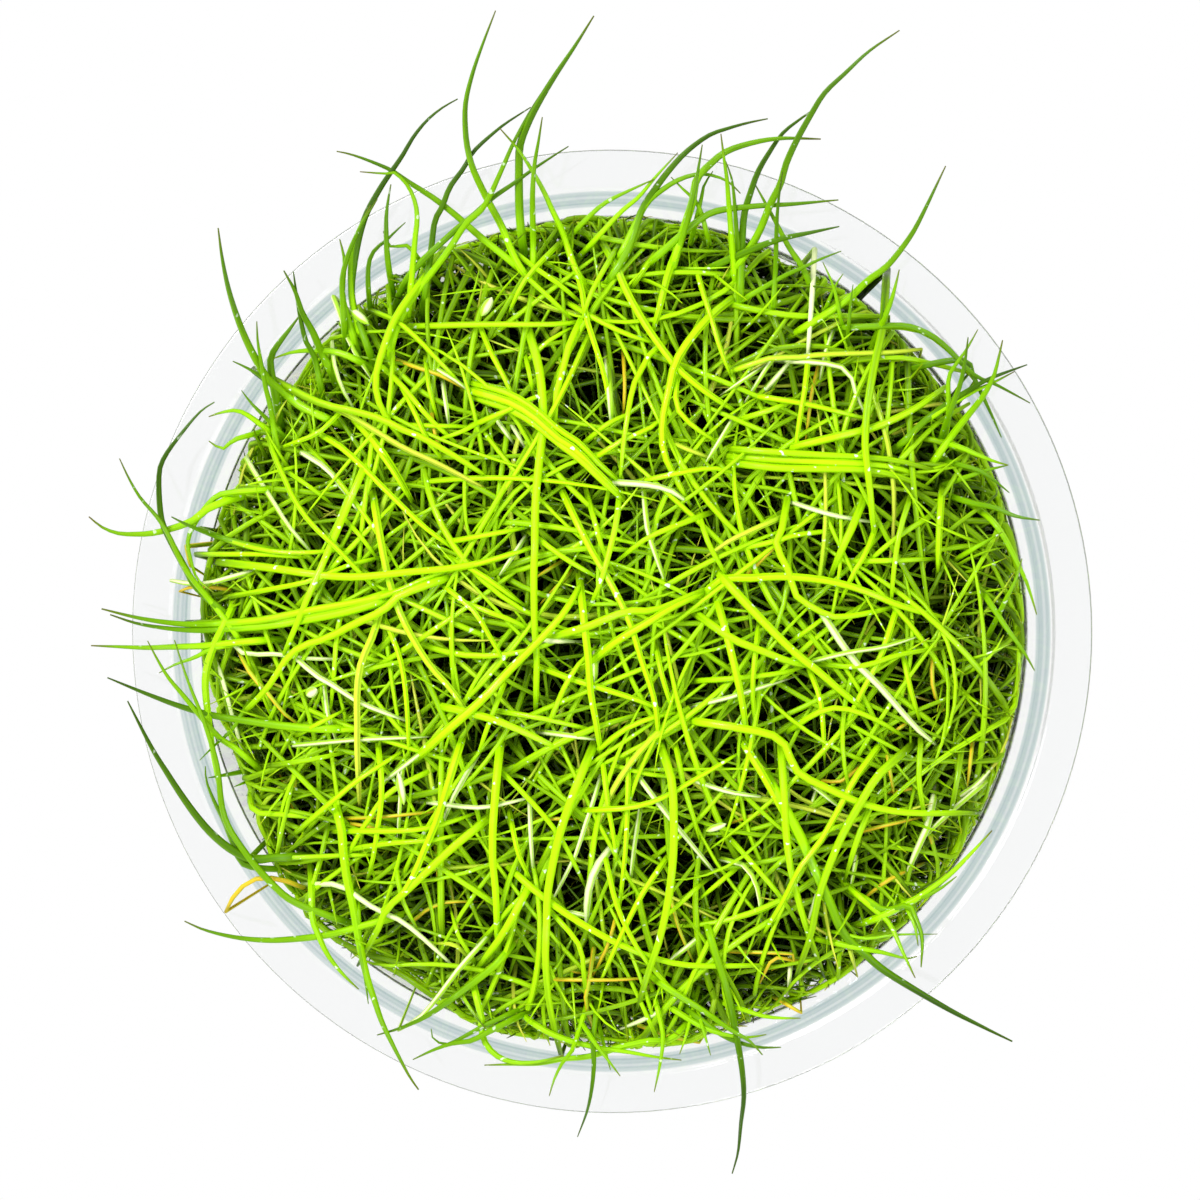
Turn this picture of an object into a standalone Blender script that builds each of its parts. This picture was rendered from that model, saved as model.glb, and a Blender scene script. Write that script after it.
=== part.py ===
"""Dwarf hairgrass in a clear culture cup.

A clear plastic cup with a wide flat flange holds a disc of gel, and the grass stands on the gel. Dwarf
hairgrass spreads by runners, so the grass is one growth: a felt of roots, the tufts that stand on it, and
the long blades that grow out of the tufts. The blades lie over each other in a low dome above the rim, and
many of them cross the flange.

Units are metres, +Z is up, and the origin is the middle of the cup's flat base.
"""

import math

import bmesh
import bpy
import numpy as np

MM = 0.001

# Cup, in millimetres
RIM_Z = 50.0
FLANGE_R = 50.0
COLLAR_R = 42.5
WALL = 0.8
FLOOR = 1.0
CUP_STEPS = 40

# Gel
GEL_TOP = 10.5
GAP = 0.3

# Root felt
FELT_R = 40.0
FELT_TOP = 12.4

# Tufts stand in rings: number in the ring, its radius, and the radius of a tuft's head
TUFT_RINGS = (
    (1, 0.0, 9.0),
    (6, 15.0, 9.2),
    (12, 31.5, 9.6),
)
TUFT_RIBS = 10
RIB_DEPTH = 0.14
CROWN_DIP = 3.6
CROWN_NOTCH = 5.0

# The canopy is a low dome: its height over the base at the axis and at the rim
CANOPY_TOP = 63.0
CANOPY_EDGE = 55.5
CANOPY_R = 44.0
TUFT_BELOW_CANOPY = 3.5

# Blades
BLADE_STEP = 7.2
BLADE_ROOT_DEPTH = 7.0
ROOT_REACH = 0.5
CLIMB = 1.7
TIP_TAPER = 0.65
CROSSING_GAP = 0.8
CROSSING_RISE = 0.7
CROSSING_SLOPE = 0.25
LAY_ROUNDS = 2

# Plan routes are drawn as they look from EYE on the level PLAN_Z: a higher point is set closer to EYE
EYE = np.array([52.3, 15.65, 647.5])
PLAN_Z = 58.0

# Blades that cross the rim: width, rise of the tip over the rim's canopy, and the plan route from the
# tuft outwards
RIM_BLADES = (
    (0.8, 5, ((-4, 34.5), (-10.3, 41.8), (-13.1, 47.3), (-14.1, 52.5), (-12.9, 58.5), (-10.9, 63.8))),
    (0.9, 9, ((-7.5, 36), (-8.4, 42.4), (-8.5, 47.7), (-7, 53.5), (-4.8, 57.1), (-0.8, 63.2))),
    (0.8, 7, ((-22.6, 25), (-20.7, 32.4), (-15.6, 39.4), (-12.4, 43.4), (-9.2, 50), (-5.7, 56.1))),
    (0.8, 4, ((-24.1, 29.4), (-25.9, 36), (-24.1, 43), (-20.9, 48.9), (-18.2, 52.4), (-14.8, 54.8))),
    (0.8, 2, ((-6, 34.5), (-12.5, 40.7), (-18.5, 45.4), (-21.6, 47.5), (-27.3, 49.5))),
    (0.7, 6, ((-19.8, 34), (-19, 41.5), (-20.1, 46.2), (-24.9, 47.4))),
    (0.7, 3, ((-18.2, 35), (-17, 42.2), (-14.5, 47.4), (-10.5, 51.8), (-7.3, 53.9))),
    (0.7, 8, ((0.5, 33), (-3, 39.5), (-6, 45.4), (-10.5, 51.8))),
    (0.7, 10, ((-7, 38), (-7.1, 43), (-6.1, 52.9))),
    (0.7, 5, ((-20, 36.5), (-11.3, 44.6), (-3.4, 49.9))),
    (0.8, 4, ((-1.5, 33), (3.1, 41.3), (7, 47.5), (12.3, 51.4), (17, 52.6))),
    (0.6, 3, ((-1, 40), (1.9, 43.1), (7.8, 49.2))),
    (0.9, 6, ((6.2, 34), (8.5, 41.7), (10.2, 47), (15.6, 50.2), (22.4, 50.5))),
    (0.8, 10, ((11, 34), (15.4, 39.8), (18.9, 48.1), (22.8, 55.2), (25.5, 57.8), (30.4, 61.5))),
    (0.8, 5, ((14.2, 35), (14.5, 41.5), (16.5, 48), (19, 51.5), (22.1, 53.8))),
    (0.7, 8, ((13.6, 37), (13, 44), (12.2, 51.1))),
    (0.7, 6, ((7.5, 38), (9.4, 45), (10.3, 50))),
    (0.7, 3, ((2, 39), (6.2, 45.4), (10.5, 47), (14.2, 45))),
    (0.8, 4, ((2, 35.5), (8, 40.7), (15.6, 43.7), (24.2, 44.3))),
    (0.8, 6, ((8, 36), (15.6, 39.4), (24.3, 41.6))),
    (0.7, 3, ((21, 36.5), (17.9, 41.9), (15.6, 46.1))),
    (0.8, 7, ((21, 31.5), (25.4, 34.3), (29.2, 37.6), (32, 41.7), (35.1, 47.7))),
    (0.7, 5, ((28.3, 31), (29, 33.5), (30.4, 37.2))),
    (0.7, 4, ((25.1, 31.3), (30, 31.5), (33.8, 30.4), (38, 26.9), (43.7, 23.6))),
    (0.8, 8, ((34.5, 18.5), (39, 24.4), (40.9, 30))),
    (0.8, 5, ((30, 20.5), (37.6, 25), (43.4, 27.5))),
    (0.7, 7, ((35, 20), (36.6, 25.5), (37.4, 30.3))),
    (0.7, 3, ((36.5, 28), (38.8, 24.5), (40.8, 20.1))),
    (0.7, 3, ((31, 20.5), (36, 19.3), (41.5, 17.3))),
    (0.7, 4, ((33, 15), (37.6, 13.5), (44.7, 11.7))),
    (0.7, 2, ((40, 11.5), (42.9, 6.4), (44.4, 2.1))),
    (0.7, 3, ((39.5, 3.5), (41.3, 0.8), (44.2, -3.6))),
    (0.8, 3, ((28, -29), (34, -25.7), (39.9, -19.9))),
    (1.0, 6, ((19.8, -20.2), (24.8, -29), (28.2, -33.5), (35, -37.9), (42, -41.4))),
    (0.8, 5, ((31, -24), (32.3, -29), (32.7, -33.9))),
    (0.7, 4, ((25.5, -24.5), (29.8, -30), (32.1, -35))),
    (0.7, 2, ((24, -31.5), (28.7, -32.4), (32.3, -32.8))),
    (0.8, 9, ((10.7, -26.3), (11.6, -32.4), (13.4, -38.7), (14.4, -44.4), (14.4, -49.5), (13.3, -55.2))),
    (0.7, 3, ((8, -37.5), (12.3, -41), (18.4, -42.2))),
    (0.8, 5, ((2.5, -33), (8.1, -37.1), (13, -40.3), (16.5, -43))),
    (0.6, 4, ((5.2, -34.5), (6.2, -41), (5.4, -46.9))),
    (0.6, 7, ((-1.5, -35), (-0.9, -42.5), (-2.5, -51.6))),
    (0.8, 3, ((-9, -40), (-0.3, -42.4), (8.2, -43.6))),
    (0.8, 2, ((-13, -37), (-11.9, -42.2), (-8.9, -44), (-3.9, -43.2), (7.5, -41.2))),
    (0.6, 5, ((-3, -39.5), (-0.5, -42.2), (1.9, -45.3))),
    (0.6, 6, ((-3, -38.5), (-3.8, -43), (-5.4, -47.4))),
    (1.0, 3, ((-0.7, -12.5), (-3.3, -18.7), (-5, -26), (-5.3, -35), (-3.8, -42.9))),
    (0.7, 4, ((-9, -40.5), (-15.4, -42.1), (-19.5, -43.8))),
    (0.8, 4, ((-7.5, -29.5), (-12.3, -35.1), (-18.6, -39.6), (-23.2, -41.3))),
    (0.8, 2, ((-10.5, -29.5), (-13.6, -33.3), (-20.5, -40.4))),
    (1.0, 6, ((-28.6, -14.2), (-27, -20.7), (-25.7, -30.1), (-23.5, -37.6), (-18.9, -46.9))),
    (0.8, 3, ((-30, -26.4), (-29.9, -29.3), (-28.3, -33.1), (-25.1, -36.6))),
    (0.8, 5, ((-22, -29), (-28.2, -31), (-35.1, -31.6), (-43.2, -29.7))),
    (0.7, 3, ((-30.5, -25.8), (-34.5, -24.9), (-38.3, -28.4))),
    (0.8, 4, ((-27.2, -29.4), (-33.9, -26), (-38.3, -20.5), (-41, -13.7))),
    (0.7, 6, ((-36.5, -13), (-41.3, -8.8), (-44.2, -0.7))),
    (0.9, 2, ((-38.5, 2), (-41, -4.8), (-40.3, -11.6), (-38.7, -20.9))),
    (0.9, 7, ((-28, -22.8), (-36.1, -23.3), (-41.9, -18.9), (-46.6, -11.8), (-49.1, -7))),
    (0.9, 5, ((-22.8, -9.7), (-32.1, -9.6), (-40, -8.5), (-51.2, -4.6))),
    (0.7, 8, ((-37.5, -12), (-43.3, -6.4), (-47, -0.8))),
    (0.6, 2, ((-38.5, -1.2), (-42.1, -2.5), (-45.8, -4.1))),
    (0.8, 4, ((-31, -0.6), (-41.2, -1.3), (-52.9, -1.3))),
    (1.0, 7, ((-17.9, 5.6), (-25, 3.3), (-35.2, 1.3), (-44.9, 1.1), (-51.8, 2.6))),
    (0.9, 3, ((-35, 14), (-38.8, 13.9), (-42.1, 11.7), (-48.5, 10.1), (-53.1, 12))),
    (0.8, 5, ((-36, -1), (-41.8, 4.6), (-44.9, 10.1), (-45.8, 16), (-43.4, 20.9), (-40, 23.8))),
    (0.7, 8, ((-37.5, -0.5), (-42.4, 5.7), (-46.1, 12.1), (-49.9, 18))),
    (0.9, 10, ((-24.5, 20.5), (-30.1, 22.9), (-34.4, 26.1), (-37.8, 33), (-39.6, 41.7))),
    (0.7, 6, ((-33.5, 19), (-34.7, 25.3), (-35.6, 32.1))),
    (0.7, 4, ((-26, 21.5), (-32.8, 24.5), (-38.1, 28))),
    (1.0, 3, ((-33.5, 24.5), (-34, 28), (-31.2, 32.6))),
    (0.8, 3, ((-21.5, 26), (-27.3, 28.9), (-33.8, 28.3))),
    (0.9, 7, ((-26.5, 23.5), (-29.7, 30.8), (-32.8, 37.3))),
    (0.7, 3, ((-34.5, 21), (-37.2, 22.8), (-40.6, 22.3))),
    (0.8, 5, ((-25.6, 30.5), (-26.7, 36), (-27, 40.5))),
)

# Blades that lie over the top of the dome, drawn in the same way
TOP_BLADES = (
    (1.0, 0, ((-6.4, -7.4), (-6.5, 2.5), (-6.4, 13.8), (-5.6, 24), (-7.2, 31.2))),
    (1.0, 0, ((-4.4, 20), (-3.6, 27), (0.3, 36.7), (1.5, 39))),
    (1.0, 0, ((14.5, 22), (8, 27.2), (3.1, 34.5), (0.5, 40))),
    (1.0, 0, ((-8, 14.5), (-16, 18.9), (-25, 22.8), (-32, 25))),
    (0.9, 0, ((-1.5, 31.9), (-10, 31.5), (-20, 31.4))),
    (1.0, 0, ((-24, 17), (-26.8, 10.5), (-29.7, 4), (-32.2, -1.9))),
    (1.0, 0, ((-17.5, 6.5), (-22, 2.5), (-30.4, -1.2), (-36.8, -8.4))),
    (1.0, 0, ((-7.3, 8.8), (-15.1, 7), (-28.6, 6.1), (-38.9, 7.4))),
    (0.9, 0, ((-13, -8.5), (-19.1, -0.2), (-21.5, 5.9), (-23, 13.8))),
    (1.0, 0, ((-8, 4.5), (-15.1, 9), (-24, 16.5))),
    (1.1, 0, ((-3.4, 2.4), (-9.1, -3.6), (-18, -12))),
    (1.0, 0, ((-4.9, -0.2), (2.8, 2.4), (12.5, 5.7), (22.5, 5.7), (35.7, 1.6))),
    (1.0, 0, ((-3.3, 14), (0.8, 6.1), (4.4, -2.5), (7.2, -14.5), (7.7, -18))),
    (1.1, 0, ((12.8, 5.7), (20.1, -1.8), (26.6, -7.3))),
    (1.1, 0, ((12.2, 3.2), (14.6, -6.5), (18.1, -18.1), (21.2, -30.5))),
    (1.1, 0, ((6, 18.4), (18.2, 17.8), (27.1, 17.4), (36.5, 14.6))),
    (0.9, 0, ((24.9, 9.1), (27.1, 19.7), (29, 32.5))),
    (1.0, 0, ((5.5, -33.6), (7.5, -23.9), (6.8, -12))),
    (1.0, 0, ((22.5, -27.8), (25.6, -19), (31, -11.5))),
    (0.9, 0, ((16.5, -9.8), (23.2, -15.5), (37, -18))),
    (1.0, 0, ((-9, -23.8), (1, -31), (7.5, -33.3), (16.6, -33.4))),
    (1.0, 0, ((-8.5, -16.5), (-14.9, -22.1), (-21.8, -27.8))),
    (1.0, 0, ((-22.3, 2.5), (-24.7, -5.8), (-24.4, -16))),
    (1.1, 0, ((-9.8, -7), (-10.8, -19.8), (-10.5, -28))),
    (0.9, 0, ((19.2, 14.5), (20.1, 4.1), (30, 3.5))),
    (0.9, 0, ((23, 1.9), (28.2, -4.7), (34, -11.5))),
    (1.0, 0, ((-5.9, -3.3), (4.4, -6.7), (18.5, -10.5))),
)


def canopy_height(plan):
    """Height of the dome over a plan point, level outside the rim."""
    share = min(math.hypot(plan[0], plan[1]) / CANOPY_R, 1.0)
    return CANOPY_TOP - (CANOPY_TOP - CANOPY_EDGE) * share * share


def make_material(name, colour, roughness, transmission=0.0):
    material = bpy.data.materials.new(name)
    material.use_nodes = True
    shader = material.node_tree.nodes["Principled BSDF"]
    shader.inputs["Base Color"].default_value = (*colour, 1.0)
    shader.inputs["Roughness"].default_value = roughness
    shader.inputs["Metallic"].default_value = 0.0
    shader.inputs["Transmission Weight"].default_value = transmission
    shader.inputs["IOR"].default_value = 1.5 if transmission else 1.45
    return material


def add_object(name, data, collection, material=None):
    item = bpy.data.objects.new(name, data)
    collection.objects.link(item)
    if material:
        data.materials.append(material)
    return item


def turned(name, profile, steps, collection, material=None):
    """A solid of revolution: the profile runs from the axis at the top, down the outer side, to the axis."""
    mesh = bpy.data.meshes.new(name)
    points = [(radius * MM, 0.0, height * MM) for radius, height in profile]
    mesh.from_pydata(points, [(i, i + 1) for i in range(len(points) - 1)], [])
    item = add_object(name, mesh, collection, material)
    screw = item.modifiers.new("turn", "SCREW")
    screw.axis = "Z"
    screw.steps = steps
    screw.render_steps = steps
    screw.use_merge_vertices = True
    screw.merge_threshold = 0.00001
    screw.use_smooth_shade = True
    return item


def as_mesh(shape, collection):
    """Replaces a curve or a modified object by its plain closed mesh, kept out of the render."""
    bpy.context.view_layer.update()
    depsgraph = bpy.context.evaluated_depsgraph_get()
    mesh = bpy.data.meshes.new_from_object(shape.evaluated_get(depsgraph))
    mesh.name = shape.name
    work = bmesh.new()
    work.from_mesh(mesh)
    bmesh.ops.remove_doubles(work, verts=work.verts, dist=0.001 * MM)
    work.to_mesh(mesh)
    work.free()
    item = bpy.data.objects.new(shape.name, mesh)
    item.matrix_world = shape.matrix_world
    collection.objects.link(item)
    bpy.data.objects.remove(shape)
    item.hide_render = True
    item.display_type = "WIRE"
    return item


def tuft(name, centre, turn, collection):
    """A turned vase shape: its head is a crown of spikes, and every second column is a groove."""
    x, y, radius = centre
    top = canopy_height(centre) - TUFT_BELOW_CANOPY
    crown = top - 1.5
    foot = 0.5 * (GEL_TOP + GAP + FELT_TOP)
    profile = (
        (0.0, top),
        (0.45 * radius, top - CROWN_DIP),
        (radius, crown),
        (0.94 * radius, 40.0),
        (0.6 * radius, 22.0),
        (0.42 * radius, foot),
        (0.0, foot),
    )
    item = as_mesh(turned(name, profile, TUFT_RIBS, collection), collection)
    for vertex in item.data.vertices:
        column = round(math.atan2(vertex.co.y, vertex.co.x) / math.tau * TUFT_RIBS)
        if column % 2 and math.hypot(vertex.co.x, vertex.co.y) > 0.01 * MM:
            vertex.co.x *= 1.0 - RIB_DEPTH
            vertex.co.y *= 1.0 - RIB_DEPTH
            if abs(vertex.co.z - crown * MM) < 0.1 * MM:
                vertex.co.z -= CROWN_NOTCH * MM
    item.location = (x * MM, y * MM, 0.0)
    item.rotation_euler.z = turn
    return item


def tuft_centres():
    """Plan centre and head radius of each tuft."""
    centres = []
    for count, ring_radius, head_radius in TUFT_RINGS:
        for index in range(count):
            angle = math.tau * (index + 0.5) / count
            centres.append((ring_radius * math.cos(angle), ring_radius * math.sin(angle), head_radius))
    return centres


def smooth_plan(points, step):
    """Points at even distances along a Catmull-Rom curve through the route."""
    points = np.array(points, float)
    padded = np.vstack([2 * points[0] - points[1], points, 2 * points[-1] - points[-2]])
    fine = []
    for index in range(1, len(padded) - 2):
        before, start, end, after = padded[index - 1 : index + 3]
        for t in np.linspace(0.0, 1.0, 12, endpoint=False):
            fine.append(
                0.5
                * (
                    2 * start
                    + (end - before) * t
                    + (2 * before - 5 * start + 4 * end - after) * t**2
                    + (3 * start - before - 3 * end + after) * t**3
                )
            )
    fine.append(points[-1])
    fine = np.array(fine)
    along = np.concatenate([[0.0], np.cumsum(np.linalg.norm(np.diff(fine, axis=0), axis=1))])
    count = max(4, round(along[-1] / step) + 1)
    stops = np.linspace(0.0, along[-1], count)
    return np.stack([np.interp(stops, along, fine[:, axis]) for axis in (0, 1)], axis=1), stops


def blade_line(route, rise, centre, radius):
    """A blade's points from inside its tuft, up to the canopy and along its route."""
    middle = np.array(centre)
    start = np.array(route[0], float)
    offset = start - middle
    reach = float(np.linalg.norm(offset))
    base = middle + offset * min(1.0, ROOT_REACH * radius / max(reach, 0.001))
    route = [tuple(base), *route[1:]] if np.linalg.norm(start - base) < 2.5 else [tuple(base), *route]
    plan, along = smooth_plan(route, BLADE_STEP)
    base_z = canopy_height(centre) - TUFT_BELOW_CANOPY - BLADE_ROOT_DEPTH
    outside = np.array([math.hypot(*point) > CANOPY_R - 4.0 for point in plan])
    first = along[outside][0] if outside.any() else along[-1]
    length = max(along[-1] - first, 0.001)
    heights = []
    for point, distance in zip(plan, along):
        share = max(0.0, (distance - first) / length)
        free = canopy_height(point) + rise * (1.0 - (1.0 - share) ** 2)
        heights.append(min(base_z + CLIMB * distance, free))
    return np.column_stack([plan, heights]), along


def crossing_samples(line, along):
    """Points every half millimetre along a blade, with their distance from its root."""
    stops = np.arange(0.0, along[-1], 0.5)
    return np.stack([np.interp(stops, along, line[:, axis]) for axis in range(3)], axis=1), stops


def lay_over(line, along, earlier):
    """Raises a blade, all but its root, where it would run through an earlier blade."""
    for _ in range(LAY_ROUNDS):
        samples, stops = crossing_samples(line, along)
        lifted = line[:, 2].copy()
        for other in earlier:
            gaps = np.linalg.norm(samples[:, None, :2] - other[None, :, :2], axis=2)
            for mine, theirs in np.argwhere(gaps < CROSSING_GAP):
                need = other[theirs, 2] + CROSSING_RISE
                if abs(other[theirs, 2] - samples[mine, 2]) < CROSSING_RISE:
                    beyond = np.maximum(0.0, np.abs(along - stops[mine]) - 0.5 * BLADE_STEP)
                    lifted = np.maximum(lifted, need - CROSSING_SLOPE * beyond)
        line[1:, 2] = lifted[1:]
    return line


def towards_eye(line):
    """Moves each point along its line of sight from the level of the drawn plan to its own height."""
    drawn = np.column_stack([line[:, :2], np.full(len(line), PLAN_Z)])
    share = (EYE[2] - line[:, 2]) / (EYE[2] - PLAN_Z)
    return EYE + (drawn - EYE) * share[:, None]


def blade(name, line, width, collection):
    """A tapered four-sided blade."""
    curve = bpy.data.curves.new(name, "CURVE")
    curve.dimensions = "3D"
    curve.bevel_depth = 0.5 * width * MM
    curve.bevel_resolution = 0
    curve.use_fill_caps = True
    spline = curve.splines.new("POLY")
    spline.points.add(len(line) - 1)
    for index, (point, place) in enumerate(zip(spline.points, line)):
        share = index / (len(line) - 1)
        point.co = (*(place * MM), 1.0)
        point.radius = 1.0 - TIP_TAPER * share**2.5
    return as_mesh(add_object(name, curve, collection), collection)


def new_collection(name):
    collection = bpy.data.collections.new(name)
    bpy.context.scene.collection.children.link(collection)
    return collection


def build_cup(collection):
    profile = (
        (0.0, FLOOR),
        (39.0, FLOOR),
        (40.2, 2.2),
        (41.9, 37.9),
        (COLLAR_R, 38.6),
        (COLLAR_R + 0.25, 47.6),
        (44.2, 48.4),
        (45.5, 49.6),
        (46.1, RIM_Z),
        (FLANGE_R - 0.3, RIM_Z),
        (FLANGE_R, RIM_Z - 0.4),
        (FLANGE_R - 0.3, RIM_Z - WALL),
        (46.3, RIM_Z - WALL),
        (44.8, 47.9),
        (43.6, 47.3),
        (43.4, 38.2),
        (42.8, 37.5),
        (41.1, 2.0),
        (39.6, 0.3),
        (38.9, 0.0),
        (0.0, 0.0),
    )
    material = make_material("cup_plastic", (0.93, 0.96, 0.95), 0.06, transmission=1.0)
    return turned("culture_cup", profile, CUP_STEPS, collection, material)


def build_gel(collection):
    profile = (
        (0.0, GEL_TOP),
        (40.3, GEL_TOP),
        (39.8, 2.7),
        (38.7, FLOOR + GAP),
        (0.0, FLOOR + GAP),
    )
    material = make_material("gel", (0.87, 0.85, 0.74), 0.15, transmission=1.0)
    return turned("nutrient_gel", profile, CUP_STEPS, collection, material)


def blade_lines(centres):
    """Width and points of every blade: outer ones first, and those over the top of the dome last."""
    drawn = sorted(RIM_BLADES, key=lambda item: -math.hypot(*item[2][0])) + list(TOP_BLADES)
    laid = []
    lines = []
    for width, rise, route in drawn:
        nearest = min(centres, key=lambda centre: math.dist(route[0], centre[:2]))
        line, along = blade_line(route, rise, nearest[:2], nearest[2])
        line = lay_over(line, along, laid)
        laid.append(crossing_samples(line, along)[0])
        lines.append((width, towards_eye(line)))
    return lines


def build_grass(collection):
    """The root felt, with the tufts and blades that grew from it joined on."""
    low = GEL_TOP + GAP
    profile = (
        (0.0, FELT_TOP),
        (FELT_R - 0.6, FELT_TOP),
        (FELT_R, FELT_TOP - 0.5),
        (FELT_R, low),
        (0.0, low),
    )
    material = make_material("grass", (0.30, 0.62, 0.03), 0.35)
    grass = turned("hairgrass", profile, TUFT_RIBS * 3, collection, material)
    growth = new_collection("growth")
    centres = tuft_centres()
    for number, centre in enumerate(centres):
        tuft(f"tuft_{number + 1:02d}", centre, math.tau * (0.37 * number % 1.0), growth)
    for number, (width, line) in enumerate(blade_lines(centres)):
        blade(f"blade_{number + 1:03d}", line, width, growth)
    join = grass.modifiers.new("grown together", "BOOLEAN")
    join.operation = "UNION"
    join.operand_type = "COLLECTION"
    join.collection = growth
    join.solver = "EXACT"


def main():
    for item in list(bpy.data.objects):
        bpy.data.objects.remove(item, do_unlink=True)
    parts = new_collection("dwarf_hairgrass_cup")
    build_cup(parts)
    build_gel(parts)
    build_grass(parts)


main()
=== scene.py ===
# %% [markdown]
# # Dwarf hairgrass in a clear culture cup
#
# This lesson dresses a small CAD part for its portrait. The part is a clear plastic cup with a wide flange, a disc of
# gel, and a dome of fine grass. The CAD file holds about a hundred long blades and a mass of ribbed tufts. The
# portrait needs several thousand blades, so they are grown here, inside the same outline.
#
# Blades, routes and profiles are in millimetres, because that is how a person would measure them. `MM` turns them into
# Blender's metres when a mesh is made. Bumps, lamps and the floor are in metres from the start.

import math

import bmesh
import bpy
import numpy as np
from mathutils import Matrix, Vector


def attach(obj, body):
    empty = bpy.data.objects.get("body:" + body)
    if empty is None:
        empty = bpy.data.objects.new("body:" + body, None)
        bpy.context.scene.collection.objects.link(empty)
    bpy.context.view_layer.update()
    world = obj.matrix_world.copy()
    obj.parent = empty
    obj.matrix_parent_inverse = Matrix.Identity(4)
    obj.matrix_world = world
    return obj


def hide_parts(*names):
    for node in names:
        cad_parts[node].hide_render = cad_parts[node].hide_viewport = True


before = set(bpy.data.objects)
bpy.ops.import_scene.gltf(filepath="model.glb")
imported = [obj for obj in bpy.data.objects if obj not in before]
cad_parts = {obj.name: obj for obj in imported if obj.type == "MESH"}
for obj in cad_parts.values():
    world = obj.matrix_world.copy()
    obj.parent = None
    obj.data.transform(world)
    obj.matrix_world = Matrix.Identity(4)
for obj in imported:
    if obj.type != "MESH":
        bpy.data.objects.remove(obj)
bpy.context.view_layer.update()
MM = 0.001
print("CAD nodes:", sorted(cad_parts))

# %% [markdown]
# ## One sight line for everything
#
# The photo looks almost straight down from about 600 mm. A blade was read off it as a plan, on one level plane. A real
# blade isn't level: it climbs out of a tuft and lies higher or lower than that plane. If only its height were changed,
# it would slide sideways in the picture, because the camera isn't straight above it.
#
# The cure is to move each point along its own line of sight. A point that is drawn at `(x, y)` on the plan's plane and
# really has the height `z` is set where the line from the camera's eye through the drawn point reaches that height.
# The same rule places the CAD blades, so both agree.

# %% Sight lines and the dome
EYE = np.array([52.3, 15.65, 647.5])
RIM_PLAN_Z, TOP_PLAN_Z = 58.0, 62.0
RIM_Z, FELT_Z = 50.0, 12.4
CANOPY_TOP, CANOPY_EDGE, CANOPY_R = 63.0, 55.5, 44.0


def on_sight_line(plan, heights, plan_z):
    """Points at their own heights, set so that the eye sees them where the plan, on the level plan_z, draws them."""
    drawn = np.column_stack([plan, np.full(len(plan), plan_z)])
    share = (EYE[2] - heights) / (EYE[2] - plan_z)
    return EYE + (drawn - EYE) * share[:, None]


def reach_of(points):
    """How far points are from the cup's axis."""
    return np.hypot(points[..., 0], points[..., 1])


def canopy_height(points):
    """Height of the grass dome over points. It is level outside the rim."""
    share = np.minimum(reach_of(points) / CANOPY_R, 1.0)
    return CANOPY_TOP - (CANOPY_TOP - CANOPY_EDGE) * share * share


probe = on_sight_line(np.zeros((2, 2)), np.array([65.0, 40.0]), TOP_PLAN_Z)
print("a point drawn at the middle shifts, at 65 and at 40 mm high:", probe.round(2).tolist())

# %% [markdown]
# ## Writing node trees as sums
#
# Shaders and geometry trees are both graphs of small nodes. Placed one by one they take many lines, and the formula
# gets lost. The class below wraps an output socket. Ordinary arithmetic on it adds the Math node that does that sum,
# so a shader can be read like a formula. One method, `Tree.node`, makes every other node from its type, its settings
# and the values or wires for its sockets.

# %% A small language for node trees
class Tree:
    """Adds nodes to a shader tree or a geometry tree."""

    def __init__(self, tree):
        self.tree = tree

    def node(self, kind, settings=None, inputs=(), output=None, **named):
        made = self.tree.nodes.new(kind)
        for name, value in (settings or {}).items():
            setattr(made, name, value)
        sockets = [socket for socket in made.inputs if socket.enabled]
        pairs = list(zip(sockets, inputs))
        for name, value in named.items():
            pairs.append((next(socket for socket in sockets if socket.name == name), value))
        for socket, value in pairs:
            if isinstance(value, Wire):
                self.tree.links.new(value.socket, socket)
            else:
                socket.default_value = value
        outputs = [socket for socket in made.outputs if socket.enabled]
        return Wire(self, next(socket for socket in outputs if output in (None, socket.name)))

    def mix(self, share, *colours):
        """Goes from the first colour to the second. A colour is a wire or three numbers."""
        colours = [(*colour, 1.0) if isinstance(colour, tuple) else colour for colour in colours]
        return self.node("ShaderNodeMix", {"data_type": "RGBA", "clamp_factor": True}, (share, *colours))

    def vector(self, operation, *inputs, output=None):
        return self.node("ShaderNodeVectorMath", {"operation": operation}, inputs, output)


class Wire:
    """An output socket that arithmetic can be done on."""

    def __init__(self, tree, socket):
        self.tree = tree
        self.socket = socket

    def math(self, operation, *values):
        return self.tree.node("ShaderNodeMath", {"operation": operation}, values)

    def __add__(self, other):
        return self.math("ADD", self, other)

    def __radd__(self, other):
        return self.math("ADD", other, self)

    def __sub__(self, other):
        return self.math("SUBTRACT", self, other)

    def __rsub__(self, other):
        return self.math("SUBTRACT", other, self)

    def __mul__(self, other):
        return self.math("MULTIPLY", self, other)

    def __rmul__(self, other):
        return self.math("MULTIPLY", other, self)

    def __truediv__(self, other):
        return self.math("DIVIDE", self, other)

    def between(self, low, high):
        """0 below low, 1 above high, and straight between them."""
        share = (self - low) / (high - low)
        return self.math("MINIMUM", self.math("MAXIMUM", share, 0.0), 1.0)

    def wave(self, turns):
        return self.math("SINE", self * (math.tau * turns))


print("tree language ready")

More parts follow.
